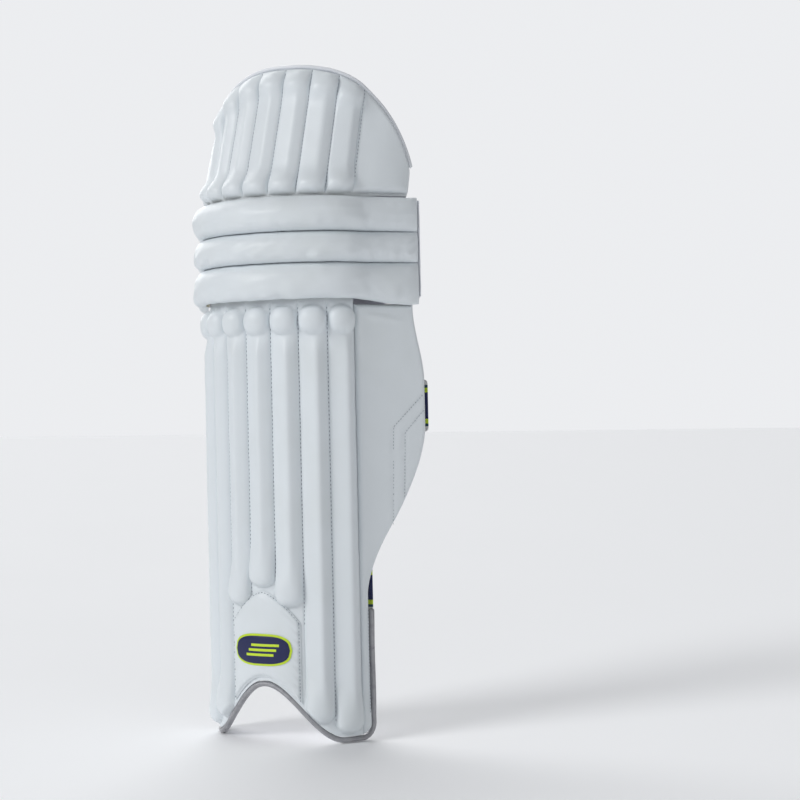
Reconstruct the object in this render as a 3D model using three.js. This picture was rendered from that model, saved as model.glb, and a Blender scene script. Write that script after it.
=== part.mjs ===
// Cricket leg pad, an adult pad with a high outer wing. Millimetres.
// +X is the outer side of the leg, -Y the front, +Z up. The origin is on the leg's axis at floor level.
//
// The pad is sewn from layers that follow one curved face. A place on that face is (s, z): s is the
// distance round the face from the centre rib, positive towards the outer side, and z is the height.
// Depth is measured out of the face: 0 at the rib seams, positive towards the front, negative
// towards the leg. Touching layers keep CLEAR between them.

import * as THREE from 'three';

const CLEAR = 0.4;

// The face's section
const FRONT_Y = -100;
const FLAT_HALF = 75;
const FLAT_RADIUS = 115;
const RIBBED_HALF = 105;
const SHOULDER_RADIUS = 60;
const CREASE = 18;
const OUTER_WING_ANGLE = THREE.MathUtils.degToRad(51);
const INNER_WING_ANGLE = THREE.MathUtils.degToRad(85);
const FOOT_SIDE_ANGLE = THREE.MathUtils.degToRad(64);

// Ribs
const RIB_COUNT = 7;
const RIB_PITCH = 2 * RIBBED_HALF / RIB_COUNT;
const RIB_CREST = 8;
const RIB_END = 14;
const STRIPS_PER_RIB = 6;

// Heights
const ARCH_HALF = 85;
const ARCH_RISE = 58;
const SOLE_Z = 7;
const FOOT_CORNER = 12;
const FOOT_BACK_TOP = 118;
const FOOT_SIDE_HALF = 116;
const BINDING_TOP = 137;
const WING_FOOT = 190;
const SHIN_TOP = 446;
const ROLL_EDGES = [457, 493, 525, 561];
const KNEE_INNER = 160;
const KNEE_OUTER = 178;
const FLAP_FOOT = 561;
const FLAP_RISE = 139;
const FLAP_LEAN = Math.tan(THREE.MathUtils.degToRad(17.5));
const FLAP_TAPER = 0.03;
// Each side of the flap's outline: where it would reach the foot, how square it is, and where it stops.
const FLAP_OUTER = { half: 166, power: 2.8, root: 1.5, stop: 168 };
const FLAP_INNER = { half: 156, power: 1.9, root: 1.6, stop: 156 };

// Layers
const COVER = 1.6;
const SHIN_FOAM = 13;
const WING_FOAM = 12;
const LINING = 1.6;
const ROLL_BULGE = 16;
const EDGE_TAPER = 30;

const COLOURS = {
  cover: 0xdde2e4,
  lining: 0xdedee6,
  mesh: 0xe4e5e6,
  foam: 0xd8d2b8,
  cane: 0xc9ac72,
  brushed: 0xa5a0aa,
  binding: 0x969698,
  navy: 0x14224f,
  plum: 0x2e2848,
  lime: 0xb9e33a,
  hook: 0x15161a,
  plastic: 0xe1e1dc,
  grey: 0x9a9c9f,
};

const pad = new THREE.Group();

function add(name, geometry, colour, roughness = 0.6) {
  const material = new THREE.MeshStandardMaterial({ color: COLOURS[colour], roughness, metalness: 0 });
  const mesh = new THREE.Mesh(geometry, material);
  mesh.name = name;
  pad.add(mesh);
  return mesh;
}

const lerp = THREE.MathUtils.lerp;
const clamp = THREE.MathUtils.clamp;
const smooth = (value, low, high) => THREE.MathUtils.smoothstep(value, low, high);

// One side of the section, walked from the centre line through arcs of constant curvature.
function walkSection(distance, sideAngle) {
  const shoulder = RIBBED_HALF - FLAT_HALF;
  const ribbedAngle = FLAT_HALF / FLAT_RADIUS + shoulder / SHOULDER_RADIUS;
  const arcs = [
    [FLAT_HALF, 1 / FLAT_RADIUS],
    [shoulder, 1 / SHOULDER_RADIUS],
    [CREASE, (sideAngle - ribbedAngle) / CREASE],
    [Infinity, 0],
  ];
  let x = 0;
  let y = 0;
  let angle = 0;
  let left = distance;
  for (const [length, curvature] of arcs) {
    const step = Math.min(left, length);
    const turned = angle + curvature * step;
    if (Math.abs(curvature) < 1e-6) {
      x += step * Math.cos(angle);
      y += step * Math.sin(angle);
    } else {
      x += (Math.sin(turned) - Math.sin(angle)) / curvature;
      y -= (Math.cos(turned) - Math.cos(angle)) / curvature;
    }
    angle = turned;
    left -= step;
    if (left <= 0) break;
  }
  return { x, y, angle };
}

function facePoint(s, z, depth, sideAngle) {
  const side = Math.sign(s) || 1;
  const { x, y, angle } = walkSection(Math.abs(s), sideAngle);
  return [side * (x + depth * Math.sin(angle)), FRONT_Y + y - depth * Math.cos(angle), z];
}

function shinZone(s, z, depth) {
  const outer = lerp(FOOT_SIDE_ANGLE, OUTER_WING_ANGLE, smooth(z, 185, 240));
  return facePoint(s, z, depth, s > 0 ? outer : INNER_WING_ANGLE);
}

function kneeZone(s, z, depth) {
  return facePoint(s, z, depth, OUTER_WING_ANGLE);
}

function flapZone(s, z, depth) {
  const [x, y] = facePoint(s, z, depth, OUTER_WING_ANGLE);
  return [x, y + FLAP_LEAN * (z - FLAP_FOOT), z];
}

// A box whose width runs round the face, whose height runs up it and whose faces lie at two depths.
function panel(zone, columns, rows, at, front, back) {
  const box = new THREE.BoxGeometry(1, 1, 1, columns, rows, 1);
  const corners = box.attributes.position;
  for (let i = 0; i < corners.count; i += 1) {
    const [s, z] = at(corners.getX(i) + 0.5, corners.getY(i) + 0.5);
    const depth = corners.getZ(i) > 0 ? front(s, z) : back(s, z);
    corners.setXYZ(i, ...zone(s, z, depth));
  }
  box.computeVertexNormals();
  return box;
}

const between = (left, right, bottom, top) => (u, v) => {
  const s = lerp(left, right, u);
  return [s, lerp(bottom(s), top(s), v)];
};
const level = (value) => () => value;

// As between, with each row of corners at a stated height.
const stepped = (left, right, heights) => (u, v) => {
  const s = lerp(left, right, u);
  return [s, heights[Math.round(v * (heights.length - 1))](s)];
};

// Edges of the shin
function soleEdge(s) {
  const reach = Math.abs(s);
  const arch = reach < ARCH_HALF ? ARCH_RISE * Math.cos(Math.PI * s / (2 * ARCH_HALF)) ** 2 : 0;
  const past = clamp(reach - (FOOT_SIDE_HALF - FOOT_CORNER), 0, FOOT_CORNER);
  return SOLE_Z + arch + FOOT_CORNER - Math.sqrt(FOOT_CORNER ** 2 - past ** 2);
}

const INSTEP_HALF = 1.5 * RIB_PITCH;
const INSTEP_TOP = 160;
const INSTEP_SHOULDER = 122;

function instepTop(s) {
  const across = clamp(Math.abs(s) / INSTEP_HALF, 0, 1);
  return lerp(INSTEP_TOP, INSTEP_SHOULDER, across ** 1.6);
}

// Height of a rib's crest over the seams on either side of it
function crest(s) {
  const across = Math.abs(((s + RIBBED_HALF) / RIB_PITCH) % 1 * 2 - 1);
  return RIB_CREST * Math.max(0, 1 - across ** 2) ** 0.6;
}

const ribFoot = (s) => (Math.abs(s) < INSTEP_HALF ? instepTop(s) : soleEdge(s) + 5);
const shinCrest = (s, z) => crest(s) * smooth(z, ribFoot(s), ribFoot(s) + RIB_END);

const edgeTaper = (s, z) => lerp(0.15, 1, clamp((z - soleEdge(s)) / EDGE_TAPER, 0, 1));
const foamBack = (s, z) => -COVER - CLEAR - SHIN_FOAM * edgeTaper(s, z);

const ribSeam = (index) => -RIBBED_HALF + index * RIB_PITCH;

// ---- Shin: cover, canes, foam and lining ----
const coverRows = [soleEdge, ribFoot, (s) => ribFoot(s) + RIB_END, level(SHIN_TOP + 6)];
const foamRows = (top) => [soleEdge, (s) => soleEdge(s) + EDGE_TAPER, level(top)];

add('shin_face_cover', panel(
  shinZone, RIB_COUNT * STRIPS_PER_RIB, 3,
  stepped(-RIBBED_HALF, RIBBED_HALF, coverRows),
  shinCrest,
  (s, z) => shinCrest(s, z) - COVER,
), 'cover');

function cane(zone, left, right, bottom, top, crestAt) {
  const centre = (left + right) / 2;
  const half = (right - left) / 2 * (1 - 2 / STRIPS_PER_RIB);
  return panel(
    zone, STRIPS_PER_RIB - 2, 1,
    between(centre - half, centre + half, level(bottom), level(top)),
    (s, z) => crestAt(s, z) - COVER - CLEAR,
    level(-COVER),
  );
}

for (let rib = 0; rib < RIB_COUNT; rib += 1) {
  const left = ribSeam(rib);
  const right = ribSeam(rib + 1);
  const centre = (left + right) / 2;
  const inside = Math.abs(centre) < INSTEP_HALF;
  const bottom = (inside ? INSTEP_TOP : Math.max(soleEdge(left), soleEdge(right)) + 5) + RIB_END + 2;
  add(`shin_cane_${rib + 1}`, cane(shinZone, left, right, bottom, SHIN_TOP - 6, shinCrest), 'cane', 0.7);
}

add('shin_foam_board', panel(
  shinZone, 21, 2,
  stepped(-RIBBED_HALF, RIBBED_HALF, foamRows(SHIN_TOP)),
  level(-COVER - CLEAR), foamBack,
), 'foam', 0.9);

add('shin_back_lining', panel(
  shinZone, 21, 2,
  stepped(-RIBBED_HALF, RIBBED_HALF, foamRows(SHIN_TOP - 2)),
  (s, z) => foamBack(s, z) - CLEAR,
  (s, z) => foamBack(s, z) - CLEAR - LINING,
), 'lining', 0.5);

const LINING_BACK = -COVER - CLEAR - SHIN_FOAM - CLEAR - LINING;

// ---- Instep panel, its badge and the edge binding ----
const INSTEP_PADDING = 4;

add('instep_panel', panel(
  shinZone, 12, 4,
  between(-INSTEP_HALF + 5.5, INSTEP_HALF - 5.5, (s) => soleEdge(s) + 4, (s) => instepTop(s) - 3),
  level(INSTEP_PADDING), level(CLEAR),
), 'cover');

const BADGE_HALF_WIDTH = 33;
const BADGE_HALF_HEIGHT = 16;
const BADGE_Z = 97;

function ovalAt(centreZ, halfWidth, halfHeight) {
  return (u, v) => {
    const across = lerp(-0.97, 0.97, u);
    const rise = halfHeight * Math.sqrt(1 - across ** 2);
    return [across * halfWidth, centreZ + lerp(-rise, rise, v)];
  };
}

add('instep_badge', panel(
  shinZone, 12, 1,
  ovalAt(BADGE_Z, BADGE_HALF_WIDTH, BADGE_HALF_HEIGHT),
  level(INSTEP_PADDING + CLEAR + 1), level(INSTEP_PADDING + CLEAR),
), 'navy', 0.5);

// A round cord of piping sewn along a line of face places
function piping(zone, places, radius, steps) {
  const points = places.map(([s, z, depth]) => new THREE.Vector3(...zone(s, z, depth)));
  const path = new THREE.CatmullRomCurve3(points);
  const circle = new THREE.Shape(new THREE.EllipseCurve(0, 0, radius, radius).getPoints(6).slice(0, -1));
  return new THREE.ExtrudeGeometry(circle, { steps, bevelEnabled: false, extrudePath: path });
}

const BINDING_RADIUS = 2.6;
const BINDING_DEPTH = -2.2;
const BINDING_DROP = BINDING_RADIUS + 1.4;

function bindingPlaces() {
  const side = FOOT_SIDE_HALF + BINDING_DROP;
  const places = [[-side, BINDING_TOP, BINDING_DEPTH], [-side, 80, BINDING_DEPTH]];
  for (let s = -side; s <= side + 0.1; s += side / 15) {
    const past = clamp(Math.abs(s) - (side - FOOT_CORNER), 0, FOOT_CORNER - 0.5);
    const round = FOOT_CORNER - Math.sqrt(FOOT_CORNER ** 2 - past ** 2);
    const within = clamp(s, FOOT_CORNER - side, side - FOOT_CORNER);
    places.push([s, soleEdge(within) - BINDING_DROP + round, BINDING_DEPTH]);
  }
  places.push([side, 80, BINDING_DEPTH], [side, BINDING_TOP, BINDING_DEPTH]);
  return places;
}

add('bottom_edge_binding', piping(shinZone, bindingPlaces(), BINDING_RADIUS, 72), 'binding', 0.45);

// ---- Sides of the foot, the inner wing and the outer wing ----
const SEAM_GAP = 1;
const sideTaper = (s, z) => lerp(0.3, 1, smooth(z, SOLE_Z + FOOT_CORNER, 70));

function innerEdge(z) {
  return -lerp(FOOT_SIDE_HALF, 134, smooth(z, 184, 250));
}

function outerEdge(z) {
  const low = lerp(117, 184.5, smooth(z, 150, 325) ** 0.85);
  return low - lerp(0, 11.5, smooth(z, 370, SHIN_TOP));
}

const wingBack = (s, z) => -COVER - WING_FOAM * sideTaper(s, z);

function sideAt(inner, outerAt, bottom, top) {
  return (u, v) => {
    const z = lerp(bottom, top, v);
    return [lerp(inner, outerAt(z), u), z];
  };
}

add('inner_wing', panel(
  shinZone, 4, 10,
  (u, v) => {
    const z = lerp(SOLE_Z + FOOT_CORNER, SHIN_TOP - 15, v);
    return [lerp(innerEdge(z), -RIBBED_HALF - SEAM_GAP, u), z];
  },
  level(2), wingBack,
), 'cover');

add('outer_foot_border', panel(
  shinZone, 2, 5,
  sideAt(RIBBED_HALF + SEAM_GAP, level(FOOT_SIDE_HALF), SOLE_Z + FOOT_CORNER, WING_FOOT - 3),
  level(2), wingBack,
), 'cover');

add('outer_wing', panel(
  shinZone, 6, 14,
  sideAt(RIBBED_HALF + SEAM_GAP, outerEdge, WING_FOOT, SHIN_TOP),
  level(2), wingBack,
), 'cover');

add('outer_wing_lining', panel(
  shinZone, 6, 14,
  sideAt(RIBBED_HALF + 4, (z) => outerEdge(z) - 1, WING_FOOT + 2, SHIN_TOP - 2),
  (s, z) => wingBack(s, z) - CLEAR,
  (s, z) => wingBack(s, z) - CLEAR - LINING,
), 'brushed', 0.9);

// ---- Leg side of the shin: cushions, centre strip and foot backs ----
const CUSHION_TOP = 430;
const CUSHION_FOOT = 126;
const CUSHION_THICK = 20;

function crowned(left, right, bottom, top, thick, rim) {
  return (s, z) => {
    const across = clamp((s - left) / (right - left) * 2 - 1, -1, 1);
    const up = clamp((z - bottom) / (top - bottom) * 2 - 1, -1, 1);
    return rim + (thick - rim) * (1 - across ** 4) * (1 - up ** 8);
  };
}

// A crowned cushion whose outer side leans from one place at its foot to another above it.
function cushion(inner, footSide, side) {
  const sideAtHeight = (z) => lerp(footSide, side, smooth(z, CUSHION_FOOT, 300));
  const thick = (s, z) => crowned(inner, sideAtHeight(z), CUSHION_FOOT, CUSHION_TOP, CUSHION_THICK, 5)(s, z);
  return panel(
    shinZone, 8, 8,
    (u, v) => {
      const z = lerp(CUSHION_FOOT, CUSHION_TOP, v);
      const across = side > 0 ? u : 1 - u;
      return [lerp(inner, sideAtHeight(z), across), z];
    },
    level(LINING_BACK - CLEAR),
    (s, z) => LINING_BACK - CLEAR - thick(s, z),
  );
}

add('outer_shin_cushion', cushion(34, 98, 126), 'mesh', 0.8);
add('inner_shin_cushion', cushion(-32, -98, -103), 'mesh', 0.8);

add('centre_shin_strip', panel(
  shinZone, 6, 1,
  between(-26, 26, level(FOOT_BACK_TOP + 4), level(SHIN_TOP - 12)),
  level(LINING_BACK - CLEAR), level(LINING_BACK - CLEAR - 4),
), 'plum', 0.6);

const FOOT_BACK_SEAMS = [-100, -76, -52, 40, 64, 88];

FOOT_BACK_SEAMS.slice(0, -1).forEach((left, index) => {
  const right = FOOT_BACK_SEAMS[index + 1];
  const thick = crowned(left, right, 0, FOOT_BACK_TOP, 7, 2);
  const front = (s, z) => foamBack(s, z) - 3 * CLEAR - LINING;
  add(`foot_back_pad_${index + 1}`, panel(
    shinZone, Math.round((right - left) / 6), 3,
    stepped(left + 0.5, right - 0.5, [
      (s) => soleEdge(s) + 6, (s) => soleEdge(s) + EDGE_TAPER, level(100), level(FOOT_BACK_TOP),
    ]),
    front,
    (s, z) => front(s, z) - thick(s, z) * edgeTaper(s, z),
  ), 'lining', 0.5);
});

// ---- Knee: rolls over foam cores, backing board, bolster and knee locator ----
const KNEE_BACKING = 12;
const KNEE_COLUMNS = 20;
const kneeReach = (s) => Math.abs(s) / (s > 0 ? KNEE_OUTER : KNEE_INNER);

function rollFace(index, reach) {
  const low = ROLL_EDGES[index];
  const high = ROLL_EDGES[index + 1];
  return (s, z) => {
    const up = clamp(((z - low) / (high - low) * 2 - 1) / reach, -1, 1);
    const fade = 1 - 0.45 * kneeReach(s) ** 4;
    return 2 + ROLL_BULGE * fade * Math.sqrt(1 - 0.97 * up ** 2);
  };
}

for (let roll = 0; roll < 3; roll += 1) {
  const low = ROLL_EDGES[roll];
  const high = ROLL_EDGES[roll + 1];
  const face = rollFace(roll, 1);
  const number = 3 - roll;
  add(`knee_roll_${number}`, panel(
    kneeZone, KNEE_COLUMNS, 6,
    between(-KNEE_INNER, KNEE_OUTER, level(low + 0.3), level(high - 0.3)),
    face, (s, z) => face(s, z) - COVER,
  ), 'cover');
  add(`knee_roll_core_${number}`, panel(
    kneeZone, KNEE_COLUMNS, 4,
    between(-KNEE_INNER + 2, KNEE_OUTER - 2, level(lerp(low, high, 1 / 6)), level(lerp(low, high, 5 / 6))),
    (s, z) => face(s, z) - COVER - CLEAR, level(CLEAR),
  ), 'foam', 0.9);
}

add('knee_backing_board', panel(
  kneeZone, KNEE_COLUMNS, 1,
  between(-KNEE_INNER, KNEE_OUTER, level(ROLL_EDGES[0]), level(FLAP_FOOT - 5)),
  level(0), level(-KNEE_BACKING),
), 'foam', 0.9);

const BOLSTER_INNER = 152;
const BOLSTER_OUTER = 166;
const BOLSTER_FOOT = 441;
const BOLSTER_TOP = 555;
const BOLSTER_THICK = 20;
const BOLSTER_FRONT = -KNEE_BACKING - 8;

const bolsterReach = (s) => Math.abs(s) / (s > 0 ? BOLSTER_OUTER : BOLSTER_INNER);
const bolsterFoot = (s) => BOLSTER_FOOT + 12 * smooth(bolsterReach(s), 0.6, 1);
const bolsterThick = (s, z) => {
  const up = clamp((z - BOLSTER_FOOT) / (BOLSTER_TOP - BOLSTER_FOOT) * 2 - 1, -1, 1);
  return 5 + (BOLSTER_THICK - 5) * (1 - up ** 6) * (1 - bolsterReach(s) ** 6);
};

add('knee_bolster', panel(
  kneeZone, KNEE_COLUMNS, 6,
  between(-BOLSTER_INNER, BOLSTER_OUTER, bolsterFoot, level(BOLSTER_TOP)),
  level(BOLSTER_FRONT),
  (s, z) => BOLSTER_FRONT - bolsterThick(s, z),
), 'lining', 0.45);

const LOCATOR_FOOT = 452;
const LOCATOR_TOP = 548;
const LOCATOR_BACK = BOLSTER_FRONT - BOLSTER_THICK - 1;

function locatorHalf(z) {
  const rise = (z - LOCATOR_FOOT) / (LOCATOR_TOP - LOCATOR_FOOT);
  return lerp(44, 74, Math.max(0, 1 - (rise * 2 - 1) ** 2));
}

add('knee_locator_panel', panel(
  kneeZone, 10, 6,
  (u, v) => {
    const z = lerp(LOCATOR_FOOT, LOCATOR_TOP, v);
    return [lerp(-locatorHalf(z), locatorHalf(z), u), z];
  },
  level(LOCATOR_BACK), level(LOCATOR_BACK - 2),
), 'mesh', 0.8);

const BADGE_RADIUS = 24;

add('knee_locator_badge', panel(
  kneeZone, 6, 1,
  (u, v) => {
    const x = lerp(-1, 1, u) * BADGE_RADIUS * Math.cos(Math.PI / 6);
    const half = BADGE_RADIUS - Math.abs(x) * Math.tan(Math.PI / 6);
    return [x * 1.5, 519 + lerp(-half, half, v)];
  },
  level(LOCATOR_BACK - 2 - CLEAR), level(LOCATOR_BACK - 3.5),
), 'grey', 0.4);

// ---- Top flap ----
const flapSide = (s) => (s > 0 ? FLAP_OUTER : FLAP_INNER);

function flapEdge(s) {
  const { half, power, root } = flapSide(s);
  const across = Math.min(1, Math.abs(s) / half);
  return FLAP_FOOT + FLAP_RISE * (1 - across ** power) ** (1 / root);
}

// The ribs narrow a little towards the top, so a place on the flap is found from its rib position.
const flapNarrow = (z) => 1 - FLAP_TAPER * (z - FLAP_FOOT) / FLAP_RISE;

function flapAt(left, right, bottom, inset) {
  return (u, v) => {
    const rib = lerp(left, right, u);
    const z = lerp(bottom(rib), flapEdge(rib * 0.95) - inset, v);
    return [rib * flapNarrow(z), z];
  };
}

// As flapAt, with each row of corners at a stated height.
function flapStepped(left, right, heights) {
  return (u, v) => {
    const rib = lerp(left, right, u);
    const z = heights[Math.round(v * (heights.length - 1))](rib);
    return [rib * flapNarrow(z), z];
  };
}

// The flap's foot rises towards its sides, which drop as the flap leans back.
const flapFoot = (rib) => FLAP_FOOT + 7 + 9 * smooth(Math.abs(rib), 70, 130);
const flapTop = (inset) => (rib) => flapEdge(rib * 0.95) - inset;

function flapCrest(s, z) {
  const rib = s / flapNarrow(z);
  if (Math.abs(rib) > RIBBED_HALF) {
    const half = (flapSide(rib).stop - RIBBED_HALF) / 2;
    return 3 * (1 - ((Math.abs(rib) - RIBBED_HALF - half) / (half + 1)) ** 2);
  }
  const top = flapTop(0)(rib);
  const foot = flapFoot(rib);
  return crest(rib) * smooth(z, foot, foot + 9) * (1 - smooth(z, top - RIB_END, top - 3));
}

const FLAP_COLUMNS = 2 * Math.ceil((FLAP_INNER.stop + FLAP_OUTER.stop) / 10);
const flapTaper = (s, z) => {
  const rib = s / flapNarrow(z);
  return lerp(0.25, 1, smooth(flapEdge(rib * 0.95) - z, 2, 26));
};

add('flap_face_cover', panel(
  flapZone, FLAP_COLUMNS, 3,
  flapStepped(-FLAP_INNER.stop, FLAP_OUTER.stop, [
    flapFoot, (rib) => flapFoot(rib) + 9, flapTop(RIB_END), flapTop(3),
  ]),
  (s, z) => Math.max(0, flapCrest(s, z)),
  (s, z) => Math.max(0, flapCrest(s, z)) - COVER,
), 'cover');

for (let rib = 0; rib < RIB_COUNT; rib += 1) {
  const centre = ribSeam(rib) + RIB_PITCH / 2;
  const half = RIB_PITCH / 3;
  const bottom = flapFoot(ribSeam(rib)) + 12;
  const top = Math.min(flapTop(0)(ribSeam(rib)), flapTop(0)(ribSeam(rib + 1))) - RIB_END - 2;
  add(`flap_cane_${rib + 1}`, panel(
    flapZone, 4, 2,
    (u, v) => {
      const z = lerp(bottom, top, v);
      return [lerp(centre - half, centre + half, u) * flapNarrow(z), z];
    },
    (s, z) => flapCrest(s, z) - COVER - 1.6,
    level(-COVER),
  ), 'cane', 0.7);
}

const flapBack = (s, z) => -COVER - CLEAR - SHIN_FOAM * flapTaper(s, z);

add('flap_foam_board', panel(
  flapZone, 18, 6,
  flapAt(-FLAP_INNER.stop + 3, FLAP_OUTER.stop - 3, flapFoot, 5),
  level(-COVER - CLEAR), flapBack,
), 'foam', 0.9);

add('flap_back_lining', panel(
  flapZone, 18, 6,
  flapAt(-FLAP_INNER.stop + 3, FLAP_OUTER.stop - 3, flapFoot, 5),
  (s, z) => flapBack(s, z) - 2,
  (s, z) => flapBack(s, z) - 2 - LINING,
), 'lining', 0.4);

// The piping runs just outside the flap's outline, further out where the outline is steep.
function trimPlaces() {
  const outline = (rib) => {
    const z = flapEdge(rib * 0.95);
    return new THREE.Vector2(rib * flapNarrow(z), z);
  };
  const places = [];
  for (let u = 0; u <= 1.001; u += 1 / 26) {
    const rib = lerp(-FLAP_INNER.stop, FLAP_OUTER.stop, u);
    const along = outline(rib + 1).sub(outline(rib - 1)).normalize();
    const { x, y } = outline(rib);
    const out = 0.8 + 2.6 * (1 - along.x);
    places.push([x - out * along.y, y + out * along.x, -1.5]);
  }
  return places;
}

add('flap_edge_trim', piping(flapZone, trimPlaces(), 2.2, 52), 'cover', 0.5);

// ---- Straps: straight lengths of webbing across the back, sewn at the inner edge ----
const WEBBING = 2.2;

// A flat strip standing on edge between two plan points, with rounded corners at its far end.
// Layer 0 is the webbing; a lower layer lies on the leg side of it.
function strip(from, to, low, high, thick, offset, corner) {
  const start = new THREE.Vector2(...from);
  const along = new THREE.Vector2(...to).sub(start);
  const length = along.length();
  const height = high - low;
  const shape = new THREE.Shape();
  shape.moveTo(0, 0);
  shape.lineTo(length - corner, 0);
  shape.absarc(length - corner, corner, corner, -Math.PI / 2, 0);
  shape.lineTo(length, height - corner);
  shape.absarc(length - corner, height - corner, corner, 0, Math.PI / 2);
  shape.lineTo(0, height);
  shape.closePath();
  const geometry = new THREE.ExtrudeGeometry(shape, { depth: thick, bevelEnabled: false, curveSegments: 3 });
  geometry.rotateX(Math.PI / 2);
  geometry.translate(0, -offset, 0);
  geometry.rotateZ(along.angle());
  geometry.translate(start.x, start.y, low);
  return geometry;
}

function alongLine(from, to, x) {
  return [x, lerp(from[1], to[1], (x - from[0]) / (to[0] - from[0]))];
}

const STRAPS = {
  top: { from: [-116, 3], to: [128, 22], low: 458, high: 486 },
  middle: { from: [-92, -21], to: [130, 28], low: 316, high: 371 },
  lower: { from: [-90, -31], to: [62, -31], low: 131, high: 182 },
};
const LOWER_TAB_END = [92, -31];

for (const [name, { from, to, low, high }] of Object.entries(STRAPS)) {
  add(`${name}_strap`, strip(from, to, low, high, WEBBING, 0, 4), 'navy', 0.8);
}

const HOOK = 1.2;
for (const name of ['top', 'middle']) {
  const { from, to, low, high } = STRAPS[name];
  const near = alongLine(from, to, to[0] - 42);
  const far = alongLine(from, to, to[0] - 4);
  add(`${name}_strap_hook_patch`, strip(near, far, low + 3, high - 3, HOOK, WEBBING + 0.3, 2), 'hook', 0.95);
}

const TAB = 1.6;
const middleTabFrom = alongLine(STRAPS.middle.from, STRAPS.middle.to, 91);
const middleTabTo = alongLine(STRAPS.middle.from, STRAPS.middle.to, 127);
add('middle_strap_loop_tab', strip(
  middleTabFrom, middleTabTo, STRAPS.middle.low - 6, STRAPS.middle.high - 8, TAB, WEBBING + HOOK + 0.7, 4,
), 'plastic', 0.9);
const topTabFrom = alongLine(STRAPS.top.from, STRAPS.top.to, 89);
const topTabTo = alongLine(STRAPS.top.from, STRAPS.top.to, 125);
add('top_strap_loop_tab', strip(
  topTabFrom, topTabTo, STRAPS.top.low, STRAPS.top.high, TAB, WEBBING + HOOK + 0.7, 4,
), 'plastic', 0.9);

// The lower strap ends in a two-slot slider, held by a short tab from the outer side.
const SLIDER_X = 66;
const SLIDER_HALF_WIDTH = 12;
const SLIDER_HALF_HEIGHT = 31;
const SLIDER_Z = (STRAPS.lower.low + STRAPS.lower.high) / 2;
const SLIDER_THICK = 3;

const tabGap = 3.5;
add('lower_strap_tab', strip(
  [SLIDER_X + tabGap, LOWER_TAB_END[1]], LOWER_TAB_END, STRAPS.lower.low, STRAPS.lower.high, WEBBING, 0, 1,
), 'navy', 0.8);

function roundedPlate(target, halfWidth, halfHeight, corner) {
  target.moveTo(-halfWidth + corner, -halfHeight);
  target.absarc(halfWidth - corner, -halfHeight + corner, corner, -Math.PI / 2, 0);
  target.absarc(halfWidth - corner, halfHeight - corner, corner, 0, Math.PI / 2);
  target.absarc(-halfWidth + corner, halfHeight - corner, corner, Math.PI / 2, Math.PI);
  target.absarc(-halfWidth + corner, -halfHeight + corner, corner, Math.PI, 1.5 * Math.PI);
  return target;
}

const sliderShape = roundedPlate(new THREE.Shape(), SLIDER_HALF_WIDTH, SLIDER_HALF_HEIGHT, 8);
sliderShape.holes.push(roundedPlate(new THREE.Path(), SLIDER_HALF_WIDTH - 4.5, SLIDER_HALF_HEIGHT - 4.8, 3));
const slider = new THREE.ExtrudeGeometry(sliderShape, {
  depth: SLIDER_THICK, bevelEnabled: false, curveSegments: 4,
});
slider.rotateX(Math.PI / 2);
slider.translate(SLIDER_X, LOWER_TAB_END[1] - WEBBING - 0.4, SLIDER_Z);
add('lower_strap_slider', slider, 'plastic', 0.35);

const bar = new THREE.CylinderGeometry(1.7, 1.7, 2 * (SLIDER_HALF_HEIGHT - 4.8) - 0.8, 10);
bar.rotateX(Math.PI / 2);
bar.translate(SLIDER_X, LOWER_TAB_END[1] - WEBBING - 0.4 - SLIDER_THICK / 2, SLIDER_Z);
add('lower_strap_slider_bar', bar, 'hook', 0.4);

export default pad;
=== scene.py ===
"""A cricket leg pad: its visible pieces, materials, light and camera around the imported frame.

A place on the pad is (s, z): s is the distance round the face from the centre rib, positive towards
the outer side of the leg, and z is the height. Depth is measured out of the face, 0 at the rib seams,
positive towards the front and negative towards the leg.
"""

import math

import bpy
import numpy as np
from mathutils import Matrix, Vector


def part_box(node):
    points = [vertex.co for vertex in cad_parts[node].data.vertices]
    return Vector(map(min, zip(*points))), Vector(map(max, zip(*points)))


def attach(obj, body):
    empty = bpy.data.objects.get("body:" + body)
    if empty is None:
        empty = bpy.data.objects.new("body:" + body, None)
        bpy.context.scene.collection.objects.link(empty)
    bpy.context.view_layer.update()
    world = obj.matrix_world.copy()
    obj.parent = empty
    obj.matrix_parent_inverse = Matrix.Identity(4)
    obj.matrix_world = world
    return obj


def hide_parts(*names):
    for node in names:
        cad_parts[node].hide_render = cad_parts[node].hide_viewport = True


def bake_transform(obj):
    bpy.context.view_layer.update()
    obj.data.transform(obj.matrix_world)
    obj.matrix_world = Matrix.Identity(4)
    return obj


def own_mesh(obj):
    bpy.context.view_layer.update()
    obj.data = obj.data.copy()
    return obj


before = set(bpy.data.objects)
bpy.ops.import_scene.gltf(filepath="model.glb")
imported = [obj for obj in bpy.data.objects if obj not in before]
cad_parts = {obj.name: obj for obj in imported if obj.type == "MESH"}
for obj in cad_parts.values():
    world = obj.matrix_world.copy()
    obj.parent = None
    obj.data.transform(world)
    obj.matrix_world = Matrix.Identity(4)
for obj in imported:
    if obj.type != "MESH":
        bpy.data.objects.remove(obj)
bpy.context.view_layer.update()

MM = 0.001

# ---- Camera ----
YAW = math.radians(28.4)
ROLL = math.radians(-1.28)
DISTANCE = 1.9
RIGHT_OF_LEG = 0.0977
CAMERA_HEIGHT = 0.350

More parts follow.
